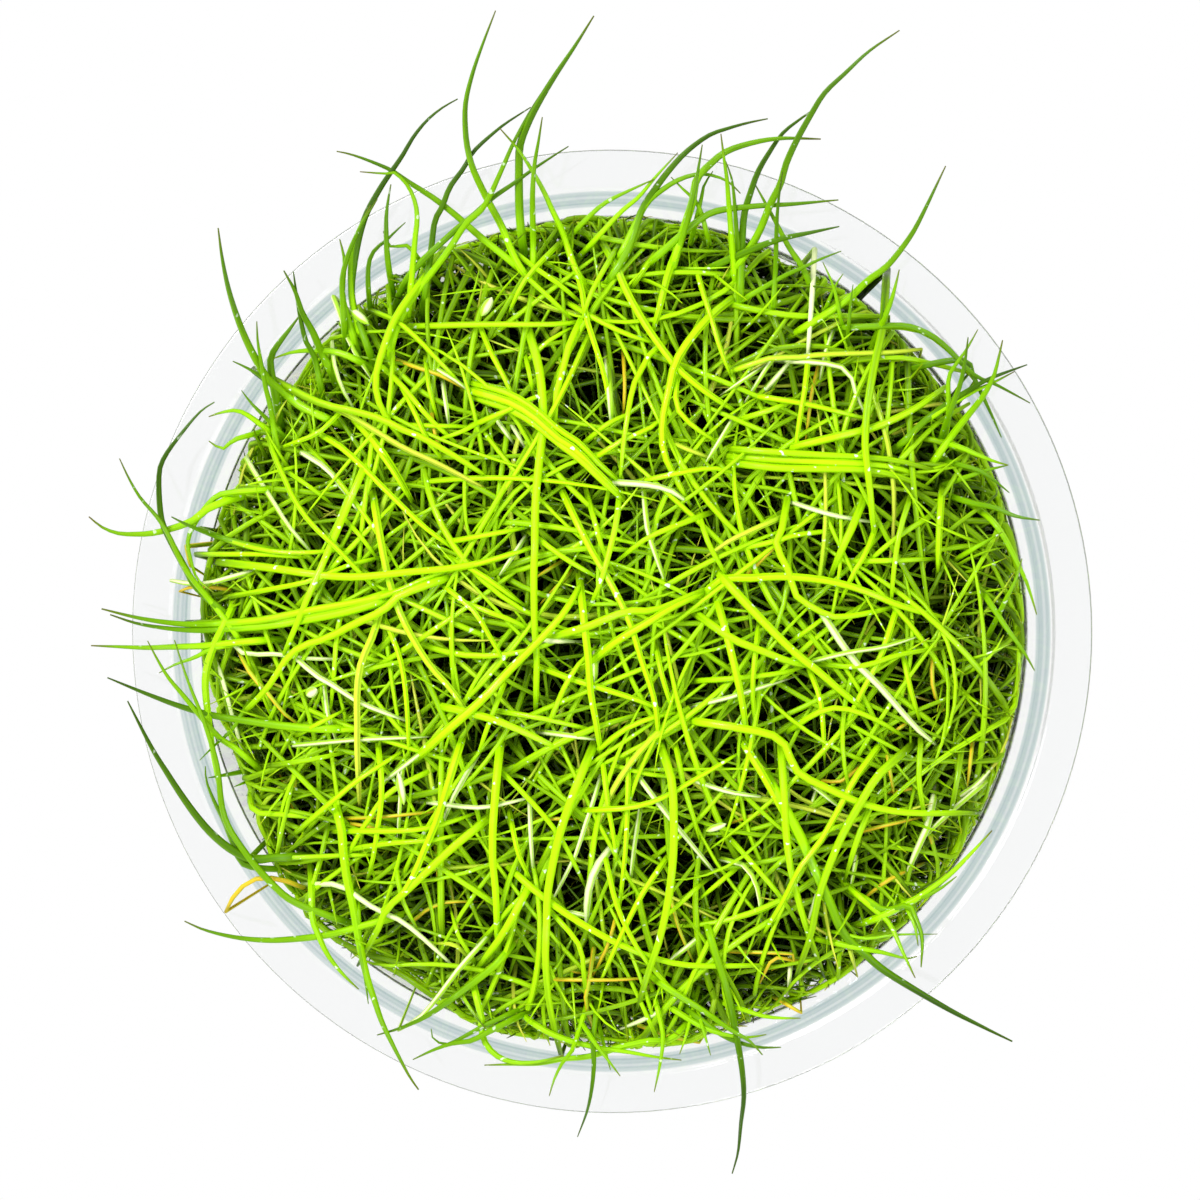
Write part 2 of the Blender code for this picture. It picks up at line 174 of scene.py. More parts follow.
# %% [markdown]
# ## What a blade is made of
#
# A blade of hairgrass is a fine green cylinder with faint ribs along it. What makes the picture is its light. The
# blades on top of the dome are bright lime, the ones below them are grass green, and the gaps between are nearly
# black. Part of that is real shadow, and the renderer makes it. The rest is painted shade and light in the blade's
# colour: deep ones are painted darker, and those on top brighter.
#
# So each blade carries three numbers on its points. `along` runs from its root to its tip. `lit` says how near the top
# of the dome the point is, and it is the painted light that sets how bright its green is. `tone` is one random number
# for the whole blade, so that neighbours differ. Four small things go on top: a few blades have yellowed, some have a
# darker groove, those below have a pale foot, and fine pale specks are painted glints on the lit blades.

# %% Helpers for materials
def new_material(name, **constants):
    material = bpy.data.materials.new(name)
    material.use_nodes = True
    shader = material.node_tree.nodes["Principled BSDF"]
    for label, value in constants.items():
        shader.inputs[label.replace("_", " ")].default_value = value
    return material, Tree(material.node_tree), shader


def plug(tree, shader, **wires):
    for label, wire in wires.items():
        tree.tree.links.new(wire.socket, shader.inputs[label.replace("_", " ")])


def attributes(tree, *names):
    return [tree.node("ShaderNodeAttribute", {"attribute_name": name}, output="Fac") for name in names]


def place(tree):
    return tree.node("ShaderNodeTexCoord", output="Object")


def noise(tree, scale, detail=2.0):
    return tree.node("ShaderNodeTexNoise", inputs=(place(tree),), Scale=scale, Detail=detail)


def bump(tree, strength, distance, relief):
    return tree.node("ShaderNodeBump", Strength=strength, Distance=distance, Height=relief)


print("helpers for materials ready")

# %% Living blades
# STRAW and PALE_FOOT are the blade's own colours. GLINT is the colour of painted highlights.
STRAW, PALE_FOOT, GLINT = (0.74, 0.66, 0.08), (0.42, 0.46, 0.16), (0.90, 0.98, 0.82)


def green_blade(name, deep, middle, bright, lime, tip, foot=0.0, shine=0.13, straw=0.0):
    """A living blade. Four greens go by its light, and foot and straw say how strongly those two show."""
    material, tree, shader = new_material(name, Specular_IOR_Level=shine, Coat_Roughness=0.12, Coat_IOR=1.4)
    lit, tone, along, around = attributes(tree, "lit", "tone", "along", "around")
    mottle = noise(tree, 260.0)
    # level is mostly painted light: lit makes the green brighter towards the top of the dome, and tone, mottle and
    # ribs vary it
    level = lit * 0.94 + tone * 0.3 - 0.14 + (mottle - 0.5) * 0.18 - around.wave(3.0) * 0.09
    layers = (
        (level.between(0.0, 0.34), middle),
        (level.between(0.3, 0.7), bright),
        (level.between(0.62, 0.98), lime),
        (along.between(0.9, 1.0) * (tone * 0.9 + 0.1), tip),
        (tone.between(0.93, 0.95) * along.between(0.1, 0.7) * lit.between(0.0, 0.5) * straw, STRAW),
        (around.wave(2.0).between(0.75, 1.0) * tone.between(0.3, 0.7) * 0.5, middle),
        ((1.0 - along.between(0.02, 0.2)) * foot, PALE_FOOT),
        # painted glints: pale specks where the blade is lit
        (noise(tree, 1300.0, 1.0).between(0.715, 0.74) * lit, GLINT),
    )
    colour = deep
    for share, over in layers:
        colour = tree.mix(share, colour, over)
    plug(
        tree,
        shader,
        Base_Color=colour,
        Roughness=0.34 + mottle * 0.2,
        Coat_Weight=noise(tree, 150.0).between(0.56, 0.66) * lit,
        Normal=bump(tree, 0.35, 0.00004, around.wave(5.0) * 0.5 + noise(tree, 900.0)),
    )
    return material


# Three copies of one blade material. The grass below has darker greens, as painted shade deep in the grass, and the
# blades over the rim have lighter ones, as painted light out in the open.
CANOPY_GREEN = green_blade(
    "grass canopy",
    deep=(0.005, 0.011, 0.0002),
    middle=(0.088, 0.180, 0.0003),
    bright=(0.370, 0.700, 0.0004),
    lime=(0.560, 1.000, 0.0004),
    tip=(0.400, 0.400, 0.0060),
    straw=0.7,
)
UNDER_GREEN = green_blade(
    "grass below",
    deep=(0.002, 0.005, 0.0004),
    middle=(0.008, 0.018, 0.0002),
    bright=(0.110, 0.250, 0.0010),
    lime=(0.360, 0.660, 0.0020),
    tip=(0.090, 0.110, 0.0050),
    foot=0.7,
    shine=0.04,
    straw=0.8,
)
RIM_GREEN = green_blade(
    "grass over the rim",
    deep=(0.030, 0.080, 0.0004),
    middle=(0.110, 0.270, 0.0004),
    bright=(0.280, 0.600, 0.0004),
    lime=(0.500, 0.960, 0.0004),
    tip=(0.130, 0.080, 0.0080),
)
print("living:", [material.name for material in (CANOPY_GREEN, UNDER_GREEN, RIM_GREEN)])

# %% Stems and roots
def stem(name, root, body, tip, side=0.0):
    """A dead or flowering stem: one colour at the root, which may also run up its sides, one along it and one at
    the tip."""
    material, tree, shader = new_material(name, Roughness=0.5, Specular_IOR_Level=0.4)
    along, tone, around = attributes(tree, "along", "tone", "around")
    mottle = noise(tree, 420.0)
    flank = (around.wave(2.0) + tone - 0.5).between(0.0, 0.8) * side
    colour = tree.mix(along.between(0.0, 0.35) + (mottle - 0.5) * 0.3 - flank, root, body)
    colour = tree.mix(along.between(0.8, 1.0) * tone, colour, tip)
    relief = around.wave(4.0) * 0.5 + noise(tree, 700.0)
    plug(tree, shader, Base_Color=colour, Normal=bump(tree, 0.35, 0.00005, relief))
    return material


# The pale stems are cream dead stems, and their near-white middle between green flanks is partly a painted sheen.
PALE_STEM = stem("pale stems", (0.42, 0.74, 0.01), (0.92, 0.95, 0.52), (0.93, 0.95, 0.70), side=1.0)
RUSTY_STEM = stem("rusty stems", (0.40, 0.62, 0.01), (0.80, 0.52, 0.012), (0.34, 0.10, 0.02), side=0.8)
ROOT_WHITE = stem("roots", (0.42, 0.38, 0.26), (0.66, 0.63, 0.50), (0.80, 0.78, 0.68))
print("stems and roots:", [material.name for material in (PALE_STEM, RUSTY_STEM, ROOT_WHITE)])

# %% [markdown]
# ## Clear plastic, gel and felt
#
# The cup is clear and colourless, so its material is plain transmission with the plastic's own IOR. What the photo
# shows of it is the step up to the flange: a soft grey-blue ring with three finer lines. A grey tint by radius paints
# the ring as painted shade, and a faint grey on the flange is painted shade too. The gel is softer and cloudier, and
# the felt of roots is matt.

# %% Felt, plastic and gel
def felt_material():
    material, tree, shader = new_material("root felt", Roughness=0.9)
    threads = noise(tree, 500.0, 4.0)
    colour = tree.mix(threads.between(0.4, 0.66), (0.030, 0.026, 0.012), (0.20, 0.17, 0.09))
    plug(tree, shader, Base_Color=colour, Normal=bump(tree, 0.8, 0.0006, threads))
    return material


# The lip's grey-blue ring and the flange's faint grey are painted shade in the clear plastic's colour.
CLEAR, FLANGE_SHADE_GREY, LIP_SHADE_GREY = (0.99, 0.995, 0.995), (0.94, 0.945, 0.945), (0.47, 0.59, 0.59)
LIP_START, LIP_END, FLANGE_START = (44.3, 44.5), (45.6, 45.8), (45.9, 46.3)  # radii that each one spans
LIP_LINES = (44.45, 44.85, 45.6)


def clear_plastic():
    """Clear plastic, a little milky, with the grey-blue ring of the step up to the flange and a grey flange as painted
    shade.
    """
    material, tree, shader = new_material(
        "clear cup plastic",
        IOR=1.46,
        Specular_IOR_Level=0.28,
        Transmission_Weight=0.985,
    )
    plan = tree.vector("MULTIPLY", place(tree), (1 / MM, 1 / MM, 0.0))
    reach = tree.vector("LENGTH", plan, output="Value")
    step = reach.between(*LIP_START) * (1.0 - reach.between(*LIP_END))
    lines = [1.0 - reach.math("ABSOLUTE", reach - line).between(0.05, 0.2) for line in LIP_LINES]
    # painted shade by radius: a faint grey flange, then the lip's grey ring and its three lines
    colour = tree.mix(reach.between(*FLANGE_START), CLEAR, FLANGE_SHADE_GREY)
    colour = tree.mix(step * 0.5 + sum(lines) * 0.5, colour, LIP_SHADE_GREY)
    smear = noise(tree, 60.0, 3.0)
    relief = smear + noise(tree, 900.0, 1.0).between(0.72, 0.8)
    plug(
        tree,
        shader,
        Base_Color=colour,
        Roughness=0.03 + smear.between(0.45, 0.8) * 0.06,
        Normal=bump(tree, 0.2, 0.00004, relief),
    )
    return material


def clear_gel():
    material, tree, shader = new_material(
        "clear gel",
        Base_Color=(0.95, 0.94, 0.87, 1.0),
        IOR=1.34,
        Transmission_Weight=1.0,
    )
    cloud = noise(tree, 45.0, 3.0)
    plug(tree, shader, Roughness=0.03 + cloud * 0.06, Normal=bump(tree, 0.3, 0.0004, cloud))
    return material


FELT, PLASTIC, GEL = felt_material(), clear_plastic(), clear_gel()
print("materials:", [material.name for material in bpy.data.materials])

# %% [markdown]
# ## Sweeping thousands of blades at once
#
# A blade is a round section that follows a line. Curves with a bevel can do that, but several thousand curve objects
# would be slow, and they can't carry numbers of their own. A Geometry Nodes tree does it in one go: a mesh of bare
# lines goes in, each line becomes a spline, and one ring of points is swept along every spline.
#
# The lines' points carry `radius`, `lit` and `tone`. The tree adds `along` and `around`, the place along the blade and
# round its section, which the shader's ribs need.

# %% The sweep tree
def sweep_tree():
    group = bpy.data.node_groups.new("sweep a round section", "GeometryNodeTree")
    for label, kind in (("Lines", "Geometry"), ("Sides", "Int"), ("Material", "Material")):
        group.interface.new_socket(label, in_out="INPUT", socket_type="NodeSocket" + kind)
    group.interface.new_socket("Blades", in_out="OUTPUT", socket_type="NodeSocketGeometry")
    tree = Tree(group)
    entry = group.nodes.new("NodeGroupInput")
    lines, count, material = (Wire(tree, entry.outputs[index]) for index in range(3))
    factor = tree.node("GeometryNodeSplineParameter", output="Factor")
    radius = tree.node("GeometryNodeInputNamedAttribute", {"data_type": "FLOAT"}, ("radius",), "Attribute")

    spine = tree.node("GeometryNodeMeshToCurve", inputs=(lines,))
    spine = tree.node("GeometryNodeStoreNamedAttribute", {"domain": "POINT"}, (spine, True, "along", factor))
    ring = tree.node("GeometryNodeCurvePrimitiveCircle", inputs=(count,), Radius=1.0, output="Curve")
    ring = tree.node("GeometryNodeStoreNamedAttribute", {"domain": "POINT"}, (ring, True, "around", factor))
    blades = tree.node("GeometryNodeCurveToMesh", inputs=(spine, ring, radius, True))
    blades = tree.node("GeometryNodeSetShadeSmooth", inputs=(blades, True, True))
    blades = tree.node("GeometryNodeRealizeInstances", inputs=(blades,))
    blades = tree.node("GeometryNodeSetMaterial", inputs=(blades, True, material))
    group.links.new(blades.socket, group.nodes.new("NodeGroupOutput").inputs[0])
    return group


SWEEP = sweep_tree()


def add_object(name, data):
    item = bpy.data.objects.new(name, data)
    bpy.context.scene.collection.objects.link(item)
    return item


def apply_tree(name, mesh, group, **values):
    """Runs a geometry tree on a mesh and returns a plain mesh object."""
    source = add_object(name + " source", mesh)
    modifier = source.modifiers.new("tree", "NODES")
    modifier.node_group = group
    for item in group.interface.items_tree:
        if item.name in values:
            modifier[item.identifier] = values[item.name]
    bpy.context.view_layer.update()
    depsgraph = bpy.context.evaluated_depsgraph_get()
    result = bpy.data.meshes.new_from_object(source.evaluated_get(depsgraph))
    bpy.data.objects.remove(source)
    result.name = name
    return add_object(name, result)


def line_mesh(name, points, counts, **numbers):
    """A mesh of open lines. counts says how many of the points each line takes."""
    ends = np.cumsum(counts)
    first = np.arange(len(points) - 1)
    first = first[~np.isin(first + 1, ends)]
    mesh = bpy.data.meshes.new(name)
    mesh.from_pydata((points * MM).tolist(), np.column_stack([first, first + 1]).tolist(), [])
    for label, values in numbers.items():
        mesh.attributes.new(label, "FLOAT", "POINT").data.foreach_set("value", values.astype(np.float32))
    return mesh


def finish_piece(piece, node):
    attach(piece, "root")
    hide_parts(node)
    piece.data.calc_loop_triangles()
    print(f"{piece.name}: {len(piece.data.loop_triangles)} triangles")


def sweep(name, blades, sides, material):
    """Sweeps blades, each one (points, radii, lit, tone), into one piece of the grass."""
    points, radii, lit, tones = zip(*blades)
    counts = [len(line) for line in points]
    numbers = {"radius": np.concatenate(radii) * MM, "lit": np.concatenate(lit), "tone": np.repeat(tones, counts)}
    mesh = line_mesh(name, np.vstack(points), counts, **numbers)
    finish_piece(apply_tree(name, mesh, SWEEP, Sides=sides, Material=material), "hairgrass")


print("sweep tree has", len(SWEEP.nodes), "nodes")

# %% [markdown]
# ## The cup and the gel
#
# Both are turned shapes, so a profile and a lathe are enough. The cup's profile is finer than the CAD one, with small
# fillets at each corner. Clear plastic is seen through two skins, so both sides of the wall are real, and the wall has
# its true thickness.
#
# The slopes matter more than the thickness. Light that comes down inside plastic and meets the lower skin at more than
# about 43 degrees can't get out, so a steep step looks black from above. The step up to the flange is kept at 40
# degrees, and it shows as a soft grey ring, partly from this light and partly from a grey tint that is painted shade.

# %% Turn the cup and the gel
CUP_PROFILE = """
0,1.0 20,1.0 38.6,1.0 39.4,1.2 40.1,1.8 40.4,2.6 40.95,14 41.5,26 42.05,37.7 42.2,38.1 42.6,38.35 42.75,38.8
42.95,47.3 43.03,47.6 43.3,47.95 44.1,48.4 44.4,48.65 45.3,49.5 45.7,49.85 46.1,50.0 46.4,50.0 48.0,50.0
49.7,50.0 49.85,50.0 49.95,49.94 50.0,49.82 50.0,49.35 49.97,49.25 49.88,49.2 49.75,49.2 48.0,49.2 46.7,49.2
46.4,49.2 46.1,49.1 45.7,48.8 44.85,48.0 44.45,47.75 43.65,47.45 43.42,47.25 43.35,47.0 43.15,38.5 43.05,38.15
42.65,37.85 42.5,37.5 41.95,26 41.4,14 40.9,2.4 40.6,1.0 39.9,0.3 38.9,0.0 36.0,0.0 35.6,0.3 34.8,0.3 0,0.3
"""
GEL_PROFILE = "0,10.3 30,10.35 38.6,10.45 40.1,10.5 40.2,10.3 39.85,2.8 39.6,2.0 38.7,1.3 0,1.3"
FELT_PROFILE = "0,12.3 14,12.5 27,12.1 36,12.4 39.6,12.0 40.0,11.4 39.8,10.85 0,10.85"


def read_pairs(words, units=1.0):
    return [tuple(float(value) / units for value in word.split(",")) for word in words]


def turn(name, profile, steps, material):
    """A lathe: every profile point becomes a ring, and points on the axis close the ends."""
    work = bmesh.new()
    rings = []
    for radius, height in read_pairs(profile.split()):
        angles = [math.tau * step / steps for step in range(steps if radius > 0.0 else 1)]
        places = [(radius * MM * math.cos(angle), radius * MM * math.sin(angle), height * MM) for angle in angles]
        rings.append([work.verts.new(place) for place in places])
    for upper, lower in zip(rings, rings[1:]):
        for step in range(steps):
            # A ring of one point gives the same corner twice, and fromkeys keeps it once.
            corners = ((upper, step), (lower, step), (lower, step + 1), (upper, step + 1))
            work.faces.new(list(dict.fromkeys(ring[index % len(ring)] for ring, index in corners)))
    bmesh.ops.recalc_face_normals(work, faces=work.faces)
    mesh = bpy.data.meshes.new(name)
    work.to_mesh(mesh)
    work.free()
    mesh.polygons.foreach_set("use_smooth", [True] * len(mesh.polygons))
    mesh.materials.append(material)
    return add_object(name, mesh)


finish_piece(turn("clear_cup", CUP_PROFILE, 160, PLASTIC), "culture_cup")
finish_piece(turn("gel_disc", GEL_PROFILE, 96, GEL), "nutrient_gel")
finish_piece(turn("root_felt", FELT_PROFILE, 96, FELT), "hairgrass")

# %% [markdown]
# ## Growing blades by rule
#
# Most blades can't be told apart in the photo, so they are grown by rule. A blade starts nearly upright and leans over
# more and more, and it turns a little to one side as it goes. Its lean, its length and its turn are random, with a
# fixed seed, so that every run grows the same grass.
#
# The blade is first grown from nowhere, and then set down. Its middle is moved over a random place in the cup, and
# then the whole blade is raised until its highest point is at a chosen depth below the dome. Layers follow from that
# depth: deep blades fill the gaps, and the last ones lie on top. At the end every point is drawn in from the cup's
# wall.

# %% How far out a blade may reach
WALL_Z = (1.0, 37.0, 40.0, 47.0, 48.4, 50.0, 58.0)
WALL_R = (40.4, 42.0, 42.65, 42.9, 43.0, 43.1, 43.6)
STAND_BACK = ((200.0, 15.0, 2.4), (240.0, 7.0, 1.6), (168.0, 14.0, 0.9), (143.0, 12.0, 1.6))
STAND_BACK_Z = (30.0, 42.0)  # from nothing to all of it
WALL_KNEE = 1.0  # the last stretch before the wall, where blades bend in softly


def between(values, low, high):
    """0 at low, 1 at high, and straight between them. Low may be the larger number."""
    return np.clip((values - low) / (high - low), 0.0, 1.0)


def wall_radius(points):
    """How far out a blade may reach: the wall below the rim, and a little more above it. On the left the grass
    stands back from the wall, by the depths in STAND_BACK, each at an angle and over a width."""
    reach = np.interp(points[..., 2], WALL_Z, WALL_R)
    angle = np.degrees(np.arctan2(points[..., 1], points[..., 0])) % 360.0
    back = sum(depth * np.exp(-(((angle - middle) / width) ** 2)) for middle, width, depth in STAND_BACK)
    return reach - back * between(points[..., 2], *STAND_BACK_Z)


def scale_in(points, wanted):
    """Moves points towards the axis, until they reach no further out than wanted."""
    points[..., :2] *= np.minimum(wanted / np.maximum(reach_of(points), 0.001), 1.0)[..., None]
    return points


def draw_in(points, margin):
    """Moves points that are near the wall inwards, softly."""
    reach = reach_of(points)
    limit = wall_radius(points) - margin
    over = np.maximum(reach - limit + WALL_KNEE, 0.0)
    wanted = np.where(over > 0.0, limit - WALL_KNEE * np.exp(-over / WALL_KNEE), reach)
    return scale_in(points, wanted)


print("reach on the right of the rim:", wall_radius(np.array([1.0, 0.0, RIM_Z])).round(2), "mm")

# %% Growing blades
def grow(rng, number, steps, length, start_lean, end_lean, bend, side_turn):
    """Blades as an array of number x steps points, each from its own root at the origin."""
    share = np.linspace(0.0, 1.0, steps)
    limits = (length, start_lean, end_lean, bend)
    size, first, last, power = (rng.uniform(*pair, number)[:, None] for pair in limits)
    lean = first + (last - first) * share**power
    heading = rng.uniform(0.0, math.tau, number)[:, None] + rng.normal(0.0, side_turn, number)[:, None] * share
    stride = np.stack([np.sin(lean) * np.cos(heading), np.sin(lean) * np.sin(heading), np.cos(lean)], axis=-1)
    stride *= (size / (steps - 1))[..., None]
    points = np.cumsum(stride, axis=1)
    return points - points[:, :1]


def over_disc(rng, number, inner, outer):
    """Random places on a ring, evenly spread over it."""
    reach = np.sqrt(rng.uniform(inner**2, outer**2, number))
    angle = rng.uniform(0.0, math.tau, number)
    return np.stack([reach * np.cos(angle), reach * np.sin(angle)], axis=-1)


def taper(steps, tip=0.14, power=3.0):
    return 1.0 - (1.0 - tip) * np.linspace(0.0, 1.0, steps) ** power


def turn_outwards(points, places, angles):
    """Turns every blade about its root, until it leans away from the middle of the cup, give or take its angle."""
    angles = angles + np.arctan2(places[:, 1], places[:, 0]) - np.arctan2(points[:, -1, 1], points[:, -1, 0])
    cosine, sine = np.cos(angles)[:, None], np.sin(angles)[:, None]
    x, y = points[..., 0], points[..., 1]
    return np.stack([x * cosine - y * sine, x * sine + y * cosine, points[..., 2]], axis=-1)


print("widths along a blade, from 1 at its root:", taper(5).round(2).tolist())

# %% Lighting a blade and setting down a layer
CENTRE, EDGE_LIGHT, CENTRE_LIGHT = (46.0, 28.0), 0.65, 0.38  # painted light: the dome's middle is brighter than its edge
SLIT, SLIT_SHADE = (40.8, 42.2), 0.6  # the painted shadow in the slit along the wall, and how much it darkens
DARK_DEPTH = 9.2  # grass this far below the dome has no light from above
SIDE_LIGHT, SIDE_MOST, SIDE_DEPTH = 1.3, 0.9, 2.4  # light through the wall, and how fast it fades
SIDE_LIGHT_Z = (62.0, 50.0)  # from no side light at all down to all of it
SINK = 0.6  # how far blades stand in the felt


def light_at(points):
    """Painted light on a blade: 1 on top of the dome, painted shade with depth, lower at the rim and a painted shadow
    in the slit along the wall. The blades against the wall get painted light from the side, and they are bright again."""
    reach = reach_of(points)
    depth = canopy_height(points) - points[..., 2]
    slit_shadow = 1.0 - SLIT_SHADE * between(reach, *SLIT)
    above = between(depth, DARK_DEPTH, 0.0) * (EDGE_LIGHT + CENTRE_LIGHT * between(reach, *CENTRE)) * slit_shadow
    from_wall = wall_radius(points) - reach
    beside = np.clip(SIDE_LIGHT - from_wall / SIDE_DEPTH, 0.0, SIDE_MOST) * between(points[..., 2], *SIDE_LIGHT_Z)
    return np.maximum(above, beside)


def layer(
    name, seed, number, steps, sides, material, ring, depth, width, margin=0.5, plan_share=0.6, spread=None, **shape
):
    """Grows one layer of blades and sets it down under the dome. With a spread, its blades lean outwards, and those
    that would press hard on the wall are left out."""
    rng = np.random.default_rng(seed)
    points = grow(rng, number, steps, **shape)
    anchor = round(plan_share * (steps - 1))
    places = over_disc(rng, number, *ring)
    if spread is not None:
        points = turn_outwards(points, places, rng.normal(0.0, spread, number))
    points[..., :2] += (places - points[:, anchor, :2])[:, None]
    below = canopy_height(points) - rng.uniform(*depth, number)[:, None]
    points[..., 2] += np.min(below - points[..., 2], axis=1)[:, None]
    points[..., 2] = np.maximum(points[..., 2], FELT_Z - SINK)
    if spread is not None:
        points = points[np.max(reach_of(points) - wall_radius(points), axis=1) < margin]
        number = len(points)
    points = draw_in(points, margin)
    radii = 0.5 * rng.uniform(*width, number)[:, None] * taper(steps)
    sweep(name, zip(points, radii, light_at(points), rng.uniform(0.0, 1.0, number)), sides, material)


probe = np.array([[0.0, 0.0, CANOPY_TOP], [0.0, 0.0, CANOPY_TOP - 5.0]])
print("light on top of the dome and 5 mm below:", light_at(probe).round(2).tolist())

# %% [markdown]
# ## Layers of grass
#
# Upright blades stand on the felt from wall to wall. They fill the clear side of the cup, and from above they are the
# dark green at the bottom of every gap. Three layers lie over them, each one less deep, less upright and brighter.
#
# That alone would give the dome a side as straight as a hedge. So short tips lean outwards near the rim. Tips that
# would be pressed against the wall are left out, because pressed ones gather into a dark fringe.

# %% Grow the layers
UPRIGHT = dict(length=(34.0, 50.0), start_lean=(0.0, 0.16), end_lean=(0.1, 0.75), bend=(1.6, 2.6), side_turn=0.5)
DEEP = dict(length=(22.0, 34.0), start_lean=(0.05, 0.5), end_lean=(0.7, 1.5), bend=(1.0, 1.8), side_turn=0.7)
MIDDLE = dict(length=(20.0, 36.0), start_lean=(0.3, 0.9), end_lean=(1.4, 2.1), bend=(0.8, 1.4), side_turn=0.9)
TOP = dict(length=(22.0, 40.0), start_lean=(0.6, 1.1), end_lean=(1.7, 2.3), bend=(0.7, 1.2), side_turn=0.8)
TIPS = dict(length=(9.0, 17.0), start_lean=(0.2, 0.8), end_lean=(0.7, 1.5), bend=(0.8, 1.4), side_turn=0.5)
AT_WALL = dict(margin=0.25, plan_share=0.2, **UPRIGHT)
INSIDE = dict(plan_share=0.2, **UPRIGHT)
OUTWARDS = dict(margin=0.4, spread=0.9, **TIPS)

# In each call: seed, number of blades, points along one, sides, material, ring, depth below the dome and width.
layer("upright_by_wall", 11, 1500, 8, 5, UNDER_GREEN, (34.0, 42.0), (0.5, 9.0), (0.45, 0.7), **AT_WALL)
layer("upright_inside", 12, 900, 8, 4, UNDER_GREEN, (0.0, 33.0), (4.0, 12.0), (0.45, 0.75), **INSIDE)
layer("deep_layer", 13, 1500, 9, 5, UNDER_GREEN, (0.0, 42.0), (5.0, 12.0), (0.4, 0.7), **DEEP)
layer("middle_layer", 14, 1220, 11, 5, CANOPY_GREEN, (0.0, 42.0), (2.2, 7.0), (0.4, 0.68), **MIDDLE)
layer("top_layer", 15, 420, 14, 6, CANOPY_GREEN, (0.0, 41.0), (0.6, 3.0), (0.45, 0.75), **TOP)
layer("rim_tips", 16, 700, 8, 5, CANOPY_GREEN, (34.0, 42.5), (-2.0, 4.0), (0.35, 0.6), **OUTWARDS)

# %% [markdown]
# ## Roots in the gel
#
# Plants that are raised in a closed cup send fine white roots down into the clear gel. They can't be seen from above.
# They are what a side view through the gel shows, so they are grown here by the same rule, upside down.

# %% Roots
ROOTS = dict(length=(7.0, 15.0), start_lean=(0.1, 0.7), end_lean=(0.7, 1.5), bend=(0.9, 1.6), side_turn=1.2)
ROOT_TOP_Z, ROOT_LOW_Z = FELT_Z - 1.6, 1.9
ROOT_START_R, ROOT_END_R = 38.5, 39.2


def root_threads(seed, number, steps):
    rng = np.random.default_rng(seed)
    points = grow(rng, number, steps, **ROOTS)
    points[..., 2] = np.maximum(ROOT_TOP_Z - points[..., 2], ROOT_LOW_Z)
    points[..., :2] += over_disc(rng, number, 0.0, ROOT_START_R)[:, None]
    points = scale_in(points, ROOT_END_R)
    radii = 0.5 * rng.uniform(0.2, 0.4, number)[:, None] * taper(steps, 0.4, 1.5)
    return zip(points, radii, np.ones((number, steps)), rng.uniform(0.0, 1.0, number))


sweep("roots", root_threads(41, 560, 8), 4, ROOT_WHITE)
